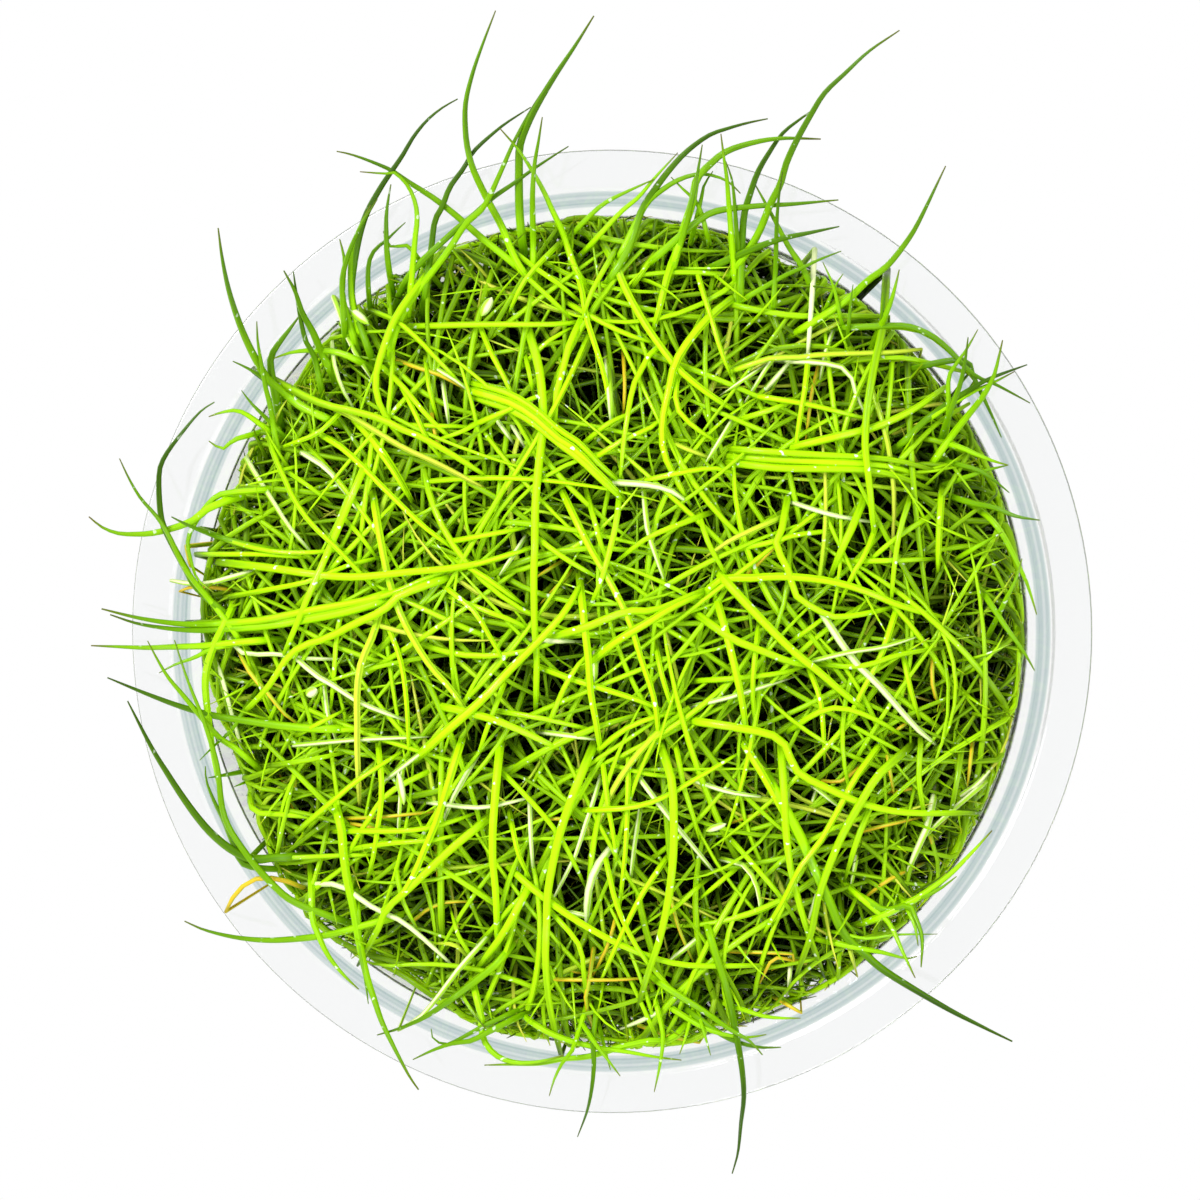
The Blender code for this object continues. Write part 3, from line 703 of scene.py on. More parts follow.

# %% [markdown]
# ## Blades placed one by one
#
# The eye knows this plant by its longest blades: the bright ones that cross the dome, and the ones that cross the
# flange and stand out against the white. Each of these was followed in the photo with a millimetre grid over it. A row
# below is one blade, in tenths of a millimetre: its width, how far its tip stands above the dome's edge, and its route
# from the root outwards.

# %% Routes over the rim
RIM_ROUTES = """
8 50 -40,345 -80,370 -103,418 -117,444 -131,473 -137,493 -140,514 -140,543 -133,573 -123,602 -109,638
9 90 -75,360 -80,390 -84,424 -85,450 -85,477 -84,500 -76,522 -64,545 -48,571 -27,602 -8,632
8 70 -226,250 -207,324 -160,390 -140,420 -121,438 -103,475 -91,502 -74,534 -57,561
8 40 -241,294 -257,341 -255,380 -245,424 -228,457 -206,489 -194,509 -180,526 -164,539 -148,548
8 20 -60,345 -80,370 -125,407 -149,428 -172,446 -200,464 -216,475 -239,485 -259,492 -273,495
7 60 -198,340 -192,407 -190,424 -192,442 -200,460 -214,473 -223,472 -249,474
7 40 -220,380 -222,422 -220,444 -217,461
7 30 -182,350 -176,390 -172,422 -164,438 -156,458 -142,477 -131,495 -105,518 -89,529 -73,539
7 80 5,330 -25,370 -40,411 -50,432 -60,454 -72,475 -85,495 -105,518
7 100 -70,380 -71,430 -71,454 -69,481 -65,504 -61,529
7 50 -200,365 -156,409 -133,428 -113,446 -91,461 -70,476 -50,489 -34,499
6 30 -30,410 -10,430 5,442 27,453 54,465
6 30 -10,400 19,431 38,447 54,466 78,492
8 40 -15,330 25,390 40,431 54,454 70,475 87,493 109,509 128,516 150,522 170,526
9 60 62,340 76,388 85,417 93,442 97,464 110,479 128,493 156,502 185,506 224,505
8 100 110,340 154,398 173,440 183,460 189,481 200,505 214,530 228,552 249,572 273,594 304,615
6 70 176,340 178,374 179,417 181,444 185,472
8 50 142,350 144,405 146,429 152,450 160,472 171,491 185,511 201,524 221,538
7 80 136,370 134,390 132,417 130,441 128,466 125,487 122,511
6 40 142,370 138,413 134,460 127,483
7 60 75,380 87,421 94,450 99,476 103,500
7 30 20,390 44,437 62,454 83,466 105,470 128,463 142,450
8 40 20,355 54,384 78,405 97,421 117,432 156,437 195,439 242,443
8 60 80,360 128,382 156,394 185,404 214,410 243,416
6 40 150,345 185,365 205,374 224,383 245,391
7 30 210,365 191,396 179,419 167,441 156,461
8 70 210,315 231,328 253,343 272,361 292,376 312,401 325,423 351,477
5 30 245,320 237,355 226,380
5 30 230,335 239,356 247,368
5 40 285,310 288,340 290,359
7 50 283,310 294,335 300,355 304,372
5 30 252,310 255,342 257,357
6 20 105,420 97,441 83,455 71,467
6 20 96,420 102,445 105,459 114,473
9 100 -245,205 -301,229 -324,245 -344,261 -356,280 -368,304 -378,330 -386,357 -392,387 -396,417
7 60 -335,190 -342,233 -347,253 -351,276 -355,300 -356,321
7 40 -260,215 -304,229 -328,245 -350,263 -366,273 -381,280
10 30 -335,235 -342,278 -336,294 -324,310 -312,326
8 30 -215,260 -251,280 -273,289 -297,291 -320,289 -338,283
9 70 -265,235 -279,269 -289,288 -297,308 -309,330 -316,351 -328,373
7 60 -290,255 -296,283 -305,300 -310,320 -314,343 -318,372
6 40 -335,210 -350,225 -362,237 -372,250
7 30 -345,210 -372,228 -390,228 -406,223
7 20 -360,205 -380,199 -392,190 -406,198
8 50 -256,305 -267,345 -265,381 -270,405
7 70 -265,310 -267,343 -267,367 -259,395 -247,420 -231,446
7 60 -227,272 -241,294 -251,314 -257,341 -259,373 -255,404 -238,440
6 20 -240,380 -218,407 -202,422
6 20 -185,380 -200,398 -217,397 -225,413
8 50 -360,-10 -380,12 -418,46 -429,64 -449,101 -456,121 -458,160 -453,180 -435,205 -415,228 -400,238
7 80 -375,-5 -400,28 -429,64 -449,103 -461,121 -477,139 -489,159 -499,180
9 30 -340,140 -370,141 -406,129 -421,117 -441,109 -465,103 -485,102 -501,103 -517,109 -531,120
7 20 -350,148 -382,145 -398,141 -413,125 -425,105 -428,92 -425,76 -418,56 -401,42
8 50 -300,80 -332,84 -370,92 -401,101 -427,111 -445,120
10 70 -179,56 -249,32 -312,18 -352,13 -392,10 -421,9 -449,11 -481,16 -518,25
9 60 -180,50 -250,26 -312,13 -352,7 -392,4 -421,3 -449,5 -481,10 -509,19
8 40 -310,-6 -346,-7 -382,-10 -412,-13 -441,-14 -471,-15 -501,-14 -529,-13
9 50 -228,-97 -282,-98 -321,-96 -361,-91 -400,-85 -434,-76 -470,-63 -512,-46
9 70 -280,-228 -301,-229 -339,-231 -361,-233 -383,-223 -403,-207 -419,-189 -435,-167 -450,-144 -466,-118 -491,-70
7 30 -365,-240 -379,-221 -391,-193 -401,-173 -409,-152 -410,-137
8 40 -272,-294 -315,-278 -339,-260 -371,-223 -391,-187 -398,-136 -411,-92 -421,-67 -431,-41 -442,-7
9 20 -385,20 -403,-18 -410,-48 -407,-86 -403,-116 -398,-146 -393,-175 -387,-209
7 60 -365,-130 -379,-118 -395,-108 -413,-88 -433,-64 -449,-45 -461,-25 -470,-8
6 20 -385,-12 -406,-17 -421,-25 -441,-32 -458,-41
5 40 -370,-80 -383,-100 -401,-116 -416,-131
6 30 -345,-136 -361,-140 -379,-144 -407,-149
5 30 -345,-140 -361,-150 -380,-158
8 50 -181,-281 -222,-294 -252,-302 -282,-310 -321,-315 -351,-316 -381,-313 -411,-306 -432,-297
8 30 -300,-264 -299,-293 -293,-310 -283,-331 -267,-351 -251,-366
10 60 -286,-142 -270,-196 -267,-224 -263,-253 -257,-280 -251,-315 -243,-351 -235,-376 -225,-404 -201,-451 -189,-469
6 30 -252,-280 -250,-310 -249,-329 -245,-351 -241,-381
8 40 -75,-295 -104,-334 -123,-351 -144,-367 -164,-382 -186,-396 -209,-406 -232,-413
7 40 -90,-395 -123,-412 -134,-418 -154,-421 -174,-428 -195,-438
6 20 -95,-390 -124,-404 -148,-417 -162,-422 -174,-416 -176,-406
8 20 75,-412 46,-417 16,-424 -13,-433 -40,-436 -65,-441 -95,-442 -121,-443
8 30 -130,-370 -124,-395 -124,-408 -119,-422 -107,-434 -89,-440 -65,-439 -39,-432
6 60 -20,-395 -30,-426 -40,-439 -49,-457 -54,-474
6 70 -5,-350 -5,-380 -9,-417 -8,-439 -10,-464 -15,-489 -25,-516
6 40 47,-340 52,-362 58,-387 63,-412 60,-440 54,-469
8 90 104,-263 107,-291 116,-324 126,-354 134,-387 139,-414 144,-444 146,-473 143,-500 140,-530 134,-552
7 30 60,-360 85,-382 112,-402 134,-415 160,-422 184,-422
7 30 75,-385 100,-400 124,-409 150,-412 169,-409
8 50 25,-330 56,-354 81,-371 107,-387 130,-403 152,-416 165,-430
7 20 -70,-400 -40,-415 -4,-424 26,-428 55,-433 82,-436
6 50 -20,-400 -5,-422 6,-436 19,-453
5 20 2,-420 9,-447
5 30 100,-390 107,-414 112,-431
5 30 92,-390 86,-413 80,-430
6 30 140,-382 165,-390 183,-392 204,-392
11 60 152,-116 167,-140 183,-169 203,-205 215,-233 233,-272 248,-305 270,-326 293,-345 350,-379 389,-399 420,-414
8 30 280,-290 313,-274 330,-264 356,-244 379,-221 399,-199
6 30 320,-270 344,-260 363,-246
8 50 270,-270 290,-281 314,-276 321,-288 328,-309 327,-339
6 30 310,-275 320,-295 324,-317
7 40 235,-235 252,-256 279,-280 295,-295 309,-325 321,-350
7 20 240,-315 268,-321 287,-324 311,-330 323,-328
4 20 245,-305 272,-310 301,-306 344,-305
8 50 270,180 300,190 330,218 357,238 376,250 394,260 409,266 434,275
7 40 251,313 300,315 318,313 338,304 353,292 380,265 400,256 419,246 437,236
8 80 345,185 360,206 376,226 390,244 400,263 405,282 409,300
6 40 300,195 320,210 353,232 380,248 400,257 421,268
7 70 350,210 359,236 366,255 371,279 374,303
6 50 354,220 354,259 360,273 372,290 384,311
7 30 365,280 380,261 388,245 398,224 408,201
7 30 310,205 360,193 380,185 400,177 415,173
6 20 370,160 394,168 415,173
6 30 360,175 384,168 400,158 416,145
7 40 330,150 376,135 400,130 423,121 447,117
6 30 340,65 360,76 380,88 409,105
6 40 405,20 413,37 423,57 429,78
7 20 400,115 429,64 438,41 444,21
7 30 395,35 413,8 431,-17 442,-36
"""

ROW_UNITS = 10.0  # in a millimetre


def read_rows(text):
    """Every row as its plain numbers and then its route, in millimetres."""
    for words in map(str.split, text.strip().splitlines()):
        numbers = [float(word) / ROW_UNITS for word in words if "," not in word]
        yield *numbers, read_pairs(words[len(numbers) :], ROW_UNITS)


print("routes over the rim:", len(list(read_rows(RIM_ROUTES))))

# %% Blades that cross the rim
CURVE_STEPS, FEWEST_POINTS = 10, 6
GRASS_R = 37.5  # a route that starts further out is led back inside,
LEAD_BACK, LEAD_BACK_R = 4.5, 38.5  # by this much, to this radius or less
CLIMB, ROOT_DROP = 1.7, 9.0  # how steeply a blade climbs, and from how deep
FREE_R = CANOPY_R - 4.0  # from here on a blade is free of the grass
RIM_LIGHT, RIM_FADE, RIM_FADE_R, RIM_TONE = 0.95, 0.04, 34.0, 0.25  # light falls outwards, and differs by blade


def smooth(points, spacing):
    """Points at even distances along a Catmull-Rom curve through the route, and the distances."""
    points = np.array(points)
    padded = np.vstack([2 * points[0] - points[1], points, 2 * points[-1] - points[-2]])
    share = np.linspace(0.0, 1.0, CURVE_STEPS, endpoint=False)[:, None]
    spans = []
    for before, start, end, after in zip(padded, padded[1:], padded[2:], padded[3:]):
        curve = 2 * start + (end - before) * share + (2 * before - 5 * start + 4 * end - after) * share**2
        spans.append(0.5 * (curve + (3 * start - before - 3 * end + after) * share**3))
    fine = np.vstack([*spans, points[-1:]])
    along = np.concatenate([[0.0], np.cumsum(np.hypot(*np.diff(fine, axis=0).T))])
    stops = np.linspace(0.0, along[-1], max(FEWEST_POINTS, round(along[-1] / spacing) + 1))
    return np.column_stack([np.interp(stops, along, fine[:, axis]) for axis in (0, 1)]), stops


def rim_blade(width, rise, route, tone):
    """A blade that climbs out of the grass along its route, and then rises freely to its tip."""
    start, after = np.array(route[0]), np.array(route[1])
    if np.hypot(*start) > GRASS_R:
        root = start - LEAD_BACK * (after - start) / np.hypot(*(after - start))
        route = [root * min(LEAD_BACK_R / np.hypot(*root), 1.0), *route]
    plan, along = smooth(route, spacing=0.9)
    reach = reach_of(plan)
    outside = reach > FREE_R
    first = along[outside][0] if outside.any() else along[-1]
    share = np.clip((along - first) / max(along[-1] - first, 0.001), 0.0, 1.0)
    free = canopy_height(plan) + rise * (1.0 - (1.0 - share) ** 2)
    heights = np.minimum(canopy_height(plan[0]) - ROOT_DROP + CLIMB * along, free)
    points = on_sight_line(plan, heights, RIM_PLAN_Z)
    lit = np.clip(RIM_LIGHT - RIM_FADE * (reach - RIM_FADE_R) + RIM_TONE * (tone - 0.5), 0.2, 1.0)
    return points, 0.5 * width * taper(len(points), 0.16, 2.6), lit, tone


rng = np.random.default_rng(21)
sweep("rim_blades", [rim_blade(*row, rng.uniform(0.0, 1.0)) for row in read_rows(RIM_ROUTES)], 6, RIM_GREEN)

# %% [markdown]
# ## Blades, pale stems and rusty stems on the dome
#
# The same grid gave the blades on top. They are read on a plane 62 mm up. Their ends can't be seen, because each one
# comes up between others and goes down again, so a blade here is an arch: it keeps its width, and both ends dive. A
# row is its width and its route. Some stems are dead. They are cream or orange and brown, and the cream ones are
# painted nearly white along the middle as a painted wet sheen.

# %% Routes on the dome
TOP_ROUTES = """
10 -340,264 -286,237 -250,228 -222,220 -200,209 -180,201 -148,183 -121,166
8 -328,246 -299,242 -263,228 -230,209 -200,191 -165,175 -121,152
7 -223,327 -205,319 -184,301 -166,282 -148,264
8 -200,314 -121,316 -47,316 -15,319
10 -158,392 -183,358 -207,324 -220,292 -228,262 -225,238 -214,217 -202,200
7 -338,203 -333,184 -323,162 -312,138 -294,113 -269,89 -250,69 -223,42
6 -320,167 -296,151 -279,138
7 -264,227 -287,206 -320,193
7 -220,272 -200,253 -181,230 -166,214 -148,198
7 -200,251 -187,225 -176,200 -163,183
6 -176,275 -173,251 -165,222
6 -121,217 -140,207 -161,200
6 -200,214 -132,212
7 -233,199 -222,184 -209,165 -197,145
10 -250,220 -220,185 -195,145
8 -290,207 -263,191 -238,168 -214,144 -179,111 -151,90
11 -72,312 -60,268 -56,213 -59,189 -64,138 -65,89 -66,56 -65,8 -63,-25 -64,-74
9 -17,322 -30,294 -36,270 -43,246 -44,216
10 8,392 19,372 31,345 49,314 63,294 80,272 107,249 134,231
8 -30,392 -23,372 -16,348 -12,322 -3,294 6,265 11,238 14,213
7 -46,392 -64,374 -78,356 -88,335
7 -91,382 -72,363 -52,345 -30,324
7 -88,392 -65,374 -39,356 -20,340
7 -23,333 0,320 26,307 50,299
7 15,387 3,367 -8,346 -15,325
7 60,391 47,372 33,351
10 80,391 71,367 63,335 57,314
10 134,340 115,325 96,304 79,278 73,254 66,221 66,189 76,165 91,137
7 99,375 107,346 115,322 123,294 133,268
7 -120,312 -109,286 -96,262 -85,236
10 -120,246 -88,236 -64,221 -43,202 -23,189 -3,168 18,148
10 -116,239 -86,228 -62,213 -40,195 -20,180 1,160 20,142
9 -124,255 -90,245 -64,229 -42,210 -20,196 0,175 22,156
6 -73,278 -52,298 -30,311
6 -73,278 -67,249
7 -10,199 10,215 31,225
7 -2,181 26,199 50,209 66,221
7 63,294 54,288 44,270 36,254 31,230 26,197 23,165
7 50,158 83,165 115,170 134,166
6 73,197 91,189 112,181
7 83,270 79,250 81,230 96,213 115,200
7 -120,217 -99,226 -78,236 -55,246
8 134,336 166,329 202,324 247,324 295,323
7 251,313 296,313 328,308 352,292 368,276 382,258
7 144,271 174,281 202,282 231,285 296,287 328,290
7 250,277 280,281 312,281 344,274 376,266
10 292,357 289,313 283,287 278,261 273,229 271,197 273,173 276,149 280,105
7 299,287 297,253 294,221 289,184
7 213,279 210,250 205,221 200,185
10 134,182 182,178 231,176 271,174 303,170 336,158
9 136,175 182,170 231,169 271,168 303,162 334,150
8 140,189 182,186 231,183 271,181 306,177 340,168
10 202,192 247,203 280,211 320,229 352,252
7 300,170 320,192 344,215 376,235
7 328,200 344,197 387,181
7 166,242 215,234 271,220
7 150,221 176,229 199,239
10 -409,11 -350,14 -300,24 -250,33 -212,42 -179,56 -151,69
7 -409,108 -376,95 -335,85 -294,84 -260,87
7 -399,82 -343,82 -307,79
10 -389,74 -335,68 -286,61 -245,59 -195,64 -151,68 -110,76 -73,88
7 -376,39 -343,45 -294,55 -261,69 -228,78
10 -240,170 -254,138 -268,105 -284,69 -297,40 -310,9 -322,-19
10 -150,60 -204,40 -220,25 -250,11 -277,-3 -304,-12 -320,-25 -340,-55 -368,-84
8 -368,-87 -327,-94 -277,-97 -228,-97
10 -223,25 -231,-1 -243,-29 -247,-58 -247,-91 -247,-118 -245,-167
7 -218,14 -207,-12 -200,-38 -196,-74 -194,-118
10 -230,138 -223,97 -215,59 -205,27 -191,-2 -171,-33 -151,-55 -130,-85
6 -300,-98 -268,-81
7 -261,33 -268,-1 -271,-42 -274,-71
6 -258,116 -245,102 -228,80
11 -180,-120 -152,-95 -119,-66 -91,-36 -60,-5 -34,24 -21,47
10 -49,-2 -13,8 28,24 60,26 104,45
10 -5,-25 20,-5 52,14 76,29 104,42
9 -33,138 -21,113 -7,86 8,61 21,37 33,11 44,-25 57,-65 62,-106
7 -10,138 -3,113 5,86 15,65
8 21,138 18,113 11,84 3,56 -7,32
7 104,121 52,100 21,77
7 -152,45 -127,24 -109,-5 -96,-27
7 -152,65 -111,76 -73,87
7 -152,79 -119,61 -99,47 -78,32
7 -152,39 -111,23 -86,14 -67,3
8 -59,-33 -29,-44 3,-54 44,-67 68,-78
10 -18,47 -13,0 -10,-25 -8,-57 -2,-90 2,-117
10 -152,-75 -111,-85 -78,-98 -46,-113
7 -99,-78 -57,-85 -8,-96
7 3,-114 28,-95 57,-83 76,-79
7 60,-18 65,-41 75,-74
7 -47,-82 -34,-52 -21,-31 -10,-19
7 -60,97 -34,78 -5,61
7 -152,95 -81,108
7 -98,-54 -113,-93 -121,-116
10 104,37 125,57 152,58 185,60 225,57 257,50 282,41 306,31 357,16
11 128,57 152,31 177,5 201,-18 225,-37 249,-58 266,-71
7 104,118 113,92 128,65
10 104,19 136,-3 168,-16 194,-26 217,-31
10 122,32 131,0 139,-32 146,-65 151,-97
7 162,0 159,-28 157,-57 160,-90
9 192,137 186,105 181,91 194,65 201,41 220,28 241,19 274,23 298,29
10 269,137 259,112 249,91 238,65
7 280,105 272,84 262,68 249,41
7 252,76 290,76 338,78
9 348,137 346,105 345,74
7 314,132 306,105 301,73 298,40
7 343,125 314,107 290,89 273,73
8 303,27 296,5 287,-21 275,-44 261,-71 249,-97
7 221,-28 266,-31 306,-19 354,-11
7 201,-92 221,-79 242,-73 266,-78 290,-89 306,-99
7 217,-40 226,-65 229,-97 230,-116
7 104,-46 144,-43 185,-38 204,-33
10 104,-88 144,-94 185,-105 202,-137 232,-154 272,-171 313,-179 374,-179
7 309,-15 316,-49 325,-81
7 177,116 139,99 120,87
7 138,87 177,95 201,102 241,107
6 201,-3 220,11 233,21
7 -305,-198 -276,-173 -247,-149 -221,-132 -204,-121
8 -225,-118 -222,-150 -223,-175 -227,-203 -230,-224 -235,-244
7 -171,-138 -199,-152 -221,-167 -234,-187 -245,-203 -257,-226 -263,-241
7 -263,-201 -198,-200 -165,-195 -132,-184
7 -253,-219 -214,-213 -173,-210 -148,-205
7 -357,-228 -312,-228 -271,-226 -234,-225
10 -143,-118 -153,-150 -166,-191 -178,-219 -189,-245 -201,-265 -221,-281
10 -120,-193 -148,-216 -173,-239 -197,-262 -217,-280 -225,-299 -240,-326
6 -135,-326 -148,-316 -166,-315
6 -130,-328 -143,-307 -149,-288
7 -207,-239 -204,-257 -199,-275 -189,-294
7 -337,-134 -296,-128 -263,-121
11 -101,-117 -105,-158 -108,-198 -108,-231 -105,-263 -103,-317
7 -100,-138 -72,-166 -49,-192 -33,-216 -16,-250
11 -7,-117 -21,-150 -33,-182 -41,-208 -47,-235 -52,-265 -53,-296 -54,-330 -51,-370 -45,-400 -38,-429
7 0,-130 -16,-158 -29,-182
7 5,-133 10,-174 15,-201 19,-227
7 31,-117 30,-166 28,-214 24,-255 21,-279
11 65,-117 75,-149 77,-194 76,-230 71,-271 62,-311 52,-340 42,-372
7 80,-117 88,-157 96,-181 101,-199
6 10,-131 50,-141 83,-144
7 -7,-178 34,-175 66,-165 99,-146 134,-125
7 -49,-281 -20,-315 -15,-344 -12,-372
7 63,-236 45,-263 26,-300 6,-344
7 8,-230 18,-272 34,-308 52,-335 80,-365
6 99,-258 68,-287
10 -72,-258 -83,-279 -100,-308 -121,-336
7 -56,-247 -88,-276 -108,-299 -121,-312
7 -88,-195 -82,-222 -72,-244
6 134,-242 109,-263
10 186,-116 189,-156 191,-197 196,-237 204,-269 214,-302 226,-334
8 282,-116 261,-145 244,-177 225,-210 205,-236 188,-270 170,-300
10 309,-119 285,-141 267,-169 248,-203 233,-239 223,-270 217,-302 204,-339
8 277,-172 264,-205 254,-237
6 256,-318 260,-332
6 246,-310 244,-349
7 134,-206 155,-229 188,-268 204,-294
7 327,-116 326,-148 332,-184
7 369,-116 364,-148 358,-180
10 152,-116 167,-140 183,-169 203,-205
9 -90,-238 -70,-256 -47,-274 -20,-292 10,-309 42,-323 75,-333 107,-336 166,-335
"""

PALE_ROUTES = """
7 -271,344 -263,323 -253,295 -233,263
6 -273,303 -271,279 -263,253 -253,235
7 -309,189 -279,170 -266,154 -255,140
7 -361,180 -348,158 -335,138 -317,110 -297,87
6 -158,251 -153,216
6 -170,274 -148,261 -132,249
6 133,213 122,195 112,179
8 24,155 50,153 72,148 86,139
9 10,268 14,215
5 63,294 54,288 44,270
6 -103,218 -90,200
6 -91,218 -75,192
7 219,377 217,342 215,313 213,286
7 200,278 231,276 254,268 262,245 268,231
6 239,310 231,287 226,261
6 187,292 171,271 150,237
5 158,266 134,250
6 171,250 195,278
7 -384,6 -373,-12 -360,-20 -327,-20 -304,-24 -270,-25
7 -310,-24 -289,-42 -268,-54 -245,-69 -204,-85
6 -280,-58 -277,-82 -269,-107
6 -395,-24 -387,-42 -376,-82 -366,-118
6 -310,-113 -245,-107 -180,-104
6 -251,134 -235,115
7 47,138 50,109 57,86 68,55
6 -81,90 -98,65
8 -54,-5 -33,-6
8 -3,-27 -3,-43
7 -47,-100 -8,-105
6 201,134 225,126 249,120 274,116
9 230,19 249,-10 266,-32 282,-47 306,-74 324,-94 337,-105
6 224,-24 258,-16 290,-11 319,-2
6 104,-70 136,-62 154,-56 183,-47
6 -200,-135 -202,-157 -204,-187 -205,-207
6 -211,-143 -181,-120
7 -127,-128 -148,-165 -159,-191
6 -166,-172 -120,-176 -80,-168
7 -288,-255 -271,-255 -257,-260 -240,-273 -222,-283 -204,-291 -185,-305 -157,-330
6 1,-149 -7,-175 -15,-198 -23,-223 -43,-263
6 42,-182 37,-214 33,-247
10 10,-220 -3,-238 -10,-260 -12,-279 -12,-290
8 -12,-286 -29,-282
7 42,-145 60,-169 80,-194 99,-217 114,-235
6 -70,-177 -69,-206 -67,-234
6 262,-229 258,-250
6 191,-132 194,-162
6 190,-130 204,-141
6 105,-150 134,-159 162,-163
6 222,-155 245,-173
6 222,-158 214,-181
9 340,-168 334,-194 324,-216 316,-236
7 388,-152 367,-170 349,-186 336,-199
6 223,-261 215,-287
7 134,-229 150,-234 159,-248 164,-264 166,-284
6 196,-334 194,-355
7 83,-370 71,-378 51,-389 32,-397
7 104,-305 99,-310 73,-331
7 -352,65 -372,60 -401,52 -421,52 -439,55
7 -115,-310 -136,-333 -146,-345 -164,-369 -182,-390 -205,-404
6 370,-160 385,-149 399,-133
"""

RUSTY_ROUTES = """
6 -204,279 -181,271 -160,264 -140,253
5 -170,224 -168,209 -163,192
5 26,278 27,254 26,230
5 223,270 217,245 212,205
6 -365,-25 -355,-43 -340,-59 -323,-80 -310,-90
5 -46,70 -60,61
5 -34,58 -54,37
6 343,-8 339,-32 341,-57 350,-73
5 220,-10 214,-21
5 312,-89 301,-97
6 150,60 178,89 201,107
5 -265,-188 -222,-186 -165,-180
5 -263,-192 -236,-196 -206,-203
5 -186,-289 -176,-281 -157,-273 -134,-272
5 -166,-224 -163,-256
5 -312,-134 -311,-157
5 -322,-154 -315,-173
5 18,-287 10,-315 -2,-340
5 -44,-351 10,-351 45,-349
5 -39,-340 -16,-344
5 -49,-187 -34,-187
5 75,-271 83,-300 94,-325
5 144,-187 172,-178
5 228,-147 248,-147 269,-129
5 269,-198 296,-191 322,-185
6 314,-238 293,-249 272,-265
5 335,-194 343,-223
5 134,-321 204,-324 185,-336
5 294,-122 300,-156
5 303,-157 322,-154
5 379,-116 376,-143
5 200,-330 179,-328 167,-348
6 -5,-322 -9,-349 -13,-374 -5,-399
6 42,-397 75,-408 103,-414
5 193,-375 207,-383
6 -423,90 -419,70
7 -305,-258 -321,-252 -339,-249 -357,-252 -373,-266 -383,-284
5 -380,46 -413,49 -430,44
"""

print("routes on the dome:", [len(list(read_rows(text))) for text in (TOP_ROUTES, PALE_ROUTES, RUSTY_ROUTES)])

# %% Blades over the dome
SLIM = 0.88  # a blade looks a little wider in the photo than it is
MIDDLE_WIDTH, WIDE_LIFT = 0.7, 0.8  # wider blades than this lie higher
RUN_OUT, RUN_OUT_DEPTH = np.array([1.4, 2.8]), np.array([4.0, 9.0])
END_WIDTHS = (0.8, 0.5, 0.2)
FADE_R, FADE_OVER, FADE_MOST, DEPTH_FADE = 30.0, 40.0, 0.4, 0.08  # light falls outwards and with depth


def run_out(ends):
    """Two more plan points beyond the first of two points, for the stretch where a blade goes down."""
    heading = (ends[0] - ends[1]) / np.linalg.norm(ends[0] - ends[1])
    return ends[0] + heading * RUN_OUT[:, None]


def arched_blade(width, route, rng, rise):
    """A blade that comes up out of the grass, lies on it along its route and dives again."""
    plan, along = smooth(route, spacing=1.5)
    lift = rise + WIDE_LIFT * (width - MIDDLE_WIDTH) + rng.uniform(-0.8, 0.8)
    near_end = np.minimum(along, along[-1] - along)
    dive = rng.uniform(1.0, 3.0) * np.exp(-near_end / rng.uniform(1.6, 2.6))
    swell = 0.35 * np.sin(along / rng.uniform(2.5, 4.5) + rng.uniform(0.0, 6.0))
    heights = canopy_height(plan) + lift - dive + swell
    plan = np.vstack([run_out(plan[:2])[::-1], plan, run_out(plan[:-3:-1])])
    heights = np.concatenate([heights[0] - RUN_OUT_DEPTH[::-1], heights, heights[-1] - RUN_OUT_DEPTH])
    points = on_sight_line(plan, heights, TOP_PLAN_Z)
    points = np.where(points[:, 2:] < RIM_Z + 1.0, draw_in(points.copy(), 0.5), points)
    radii = 0.5 * SLIM * width * (1.0 - 0.4 * np.linspace(0.0, 1.0, len(points)) ** 2)
    radii[-len(END_WIDTHS) :] *= END_WIDTHS
    depth = np.concatenate([RUN_OUT_DEPTH[::-1], dive, RUN_OUT_DEPTH])
    lit = 1.0 - np.clip((reach_of(plan) - FADE_R) / FADE_OVER, 0.0, FADE_MOST) - DEPTH_FADE * depth
    return points, radii, np.clip(lit, 0.1, 1.0), rng.uniform(0.0, 1.0)


def arched_layer(name, seed, text, rise, material):
    rng = np.random.default_rng(seed)
    sweep(name, [arched_blade(*row, rng, rise) for row in read_rows(text)], 6, material)


arched_layer("dome_blades", 31, TOP_ROUTES, 0.2, CANOPY_GREEN)
arched_layer("pale_stems", 32, PALE_ROUTES, -0.3, PALE_STEM)
arched_layer("rusty_stems", 33, RUSTY_ROUTES, -0.6, RUSTY_STEM)

# %% [markdown]
# ## Flower heads
#
# Hairgrass flowers with one small pointed head at the end of a stem. A few lie among the blades on the left. A head is
# only a very short, thick blade, so the same sweep makes it. Its radius follows half an ellipse instead of a taper. A
# row below is its place, its length, its direction in degrees and its width.

# %% Flower heads
HEADS = (
    (-11.4, 33.4, 2.2, 60.0, 1.0),
    (-20.2, -15.7, 3.4, 100.0, 0.8),
    (-29.4, -5.9, 1.3, 30.0, 1.1),
    (-24.5, 32.5, 2.6, 140.0, 0.9),
    (12.0, -19.5, 2.2, 20.0, 0.7),
)
HEAD_POINTS, HEAD_LIFT = 9, 1.0


def flower_head(x, y, length, direction, width):
    share = np.linspace(-0.5, 0.5, HEAD_POINTS)
    angle = math.radians(direction)
    plan = np.array([x, y]) + share[:, None] * length * np.array([math.cos(angle), math.sin(angle)])
    points = on_sight_line(plan, canopy_height(plan) + HEAD_LIFT, TOP_PLAN_Z)
    radii = 0.5 * width * np.sqrt(np.clip(1.0 - (2.0 * share) ** 2, 0.01, 1.0))
    return points, radii, np.ones(HEAD_POINTS), 0.5


sweep("flower_heads", [flower_head(*row) for row in HEADS], 8, PALE_STEM)

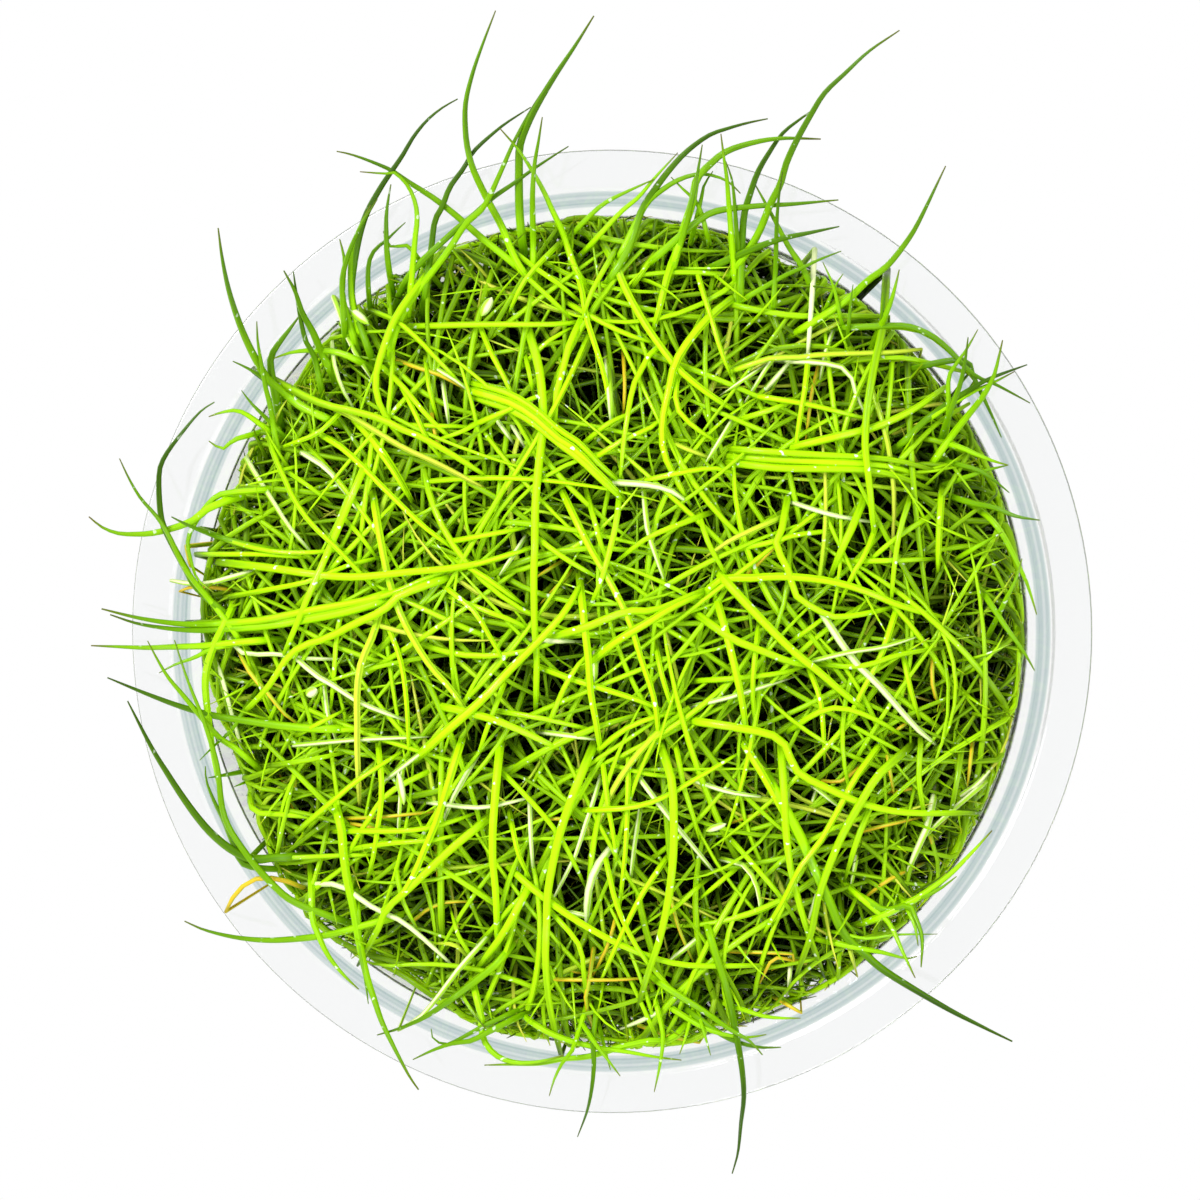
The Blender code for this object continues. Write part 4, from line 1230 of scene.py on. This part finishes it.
# %% [markdown]
# ## The stage, the light and the camera
#
# The photo is a product shot on pure white, with no shadow. A painted white floor would go grey under the cup, so this
# one is a light table: it shows only the light that it gives off itself. One large soft lamp from the upper left gives
# the blades their bright sides, and a weaker one stands opposite. The camera has a long lens and looks down the sight
# line that the routes were read along.
#
# Light that is inside the plastic turns many corners before it gets out, so its bounces are many. Light between the
# blades fades after two, and the gaps stay as dark as in the photo.

# %% Stage
FLOOR_SIZE, FLOOR_GAP = 6.0, 0.0002
ROOM_COLOUR, ROOM_STRENGTH = (0.95, 1.0, 1.0, 1.0), 0.78
AIM = Vector((-0.89, 3.34, RIM_Z)) * MM
LENS, SENSOR = 173.5, 36.0

bpy.ops.mesh.primitive_plane_add(size=FLOOR_SIZE, location=(0.0, 0.0, -FLOOR_GAP))
floor = bpy.context.object
floor.name = "floor"
light_table, *_ = new_material(
    "white floor",
    Base_Color=(0.0, 0.0, 0.0, 1.0),
    Specular_IOR_Level=0.0,
    Roughness=1.0,
    Emission_Color=(1.0, 1.0, 1.0, 1.0),
    Emission_Strength=1.0,
)
floor.data.materials.append(light_table)

scene = bpy.context.scene
scene.world = bpy.data.worlds.new("soft white room")
scene.world.use_nodes = True
room = scene.world.node_tree.nodes["Background"]
room.inputs["Color"].default_value = ROOM_COLOUR
room.inputs["Strength"].default_value = ROOM_STRENGTH


def soft_lamp(name, location, size, power):
    """A square lamp that looks at the middle of the rim."""
    lamp = bpy.data.lights.new(name, "AREA")
    lamp.size = size
    lamp.energy = power
    item = add_object(name, lamp)
    item.location = location
    sight = Vector((0.0, 0.0, RIM_Z * MM)) - item.location
    item.rotation_euler = sight.to_track_quat("-Z", "Y").to_euler()


soft_lamp("key", (-0.45, 0.35, 0.9), 0.5, 9.0)
soft_lamp("fill", (0.5, -0.4, 0.9), 0.8, 3.0)

eye = Vector(EYE * MM)
forward = (AIM - eye).normalized()
right = forward.cross(Vector((0.0, 1.0, 0.0))).normalized()
up = right.cross(forward)
camera_data = bpy.data.cameras.new("camera")
camera_data.lens = LENS
camera_data.sensor_width = SENSOR
camera_data.clip_start = 0.01
camera = add_object("camera", camera_data)
camera.matrix_world = Matrix.Translation(eye) @ Matrix((right, up, -forward)).transposed().to_4x4()
scene.camera = camera
scene.view_settings.view_transform = "Standard"
scene.cycles.max_bounces = 16
scene.cycles.transmission_bounces = 16
scene.cycles.glossy_bounces = 12
scene.cycles.diffuse_bounces = 2
print("camera at", [round(value, 4) for value in camera.location])
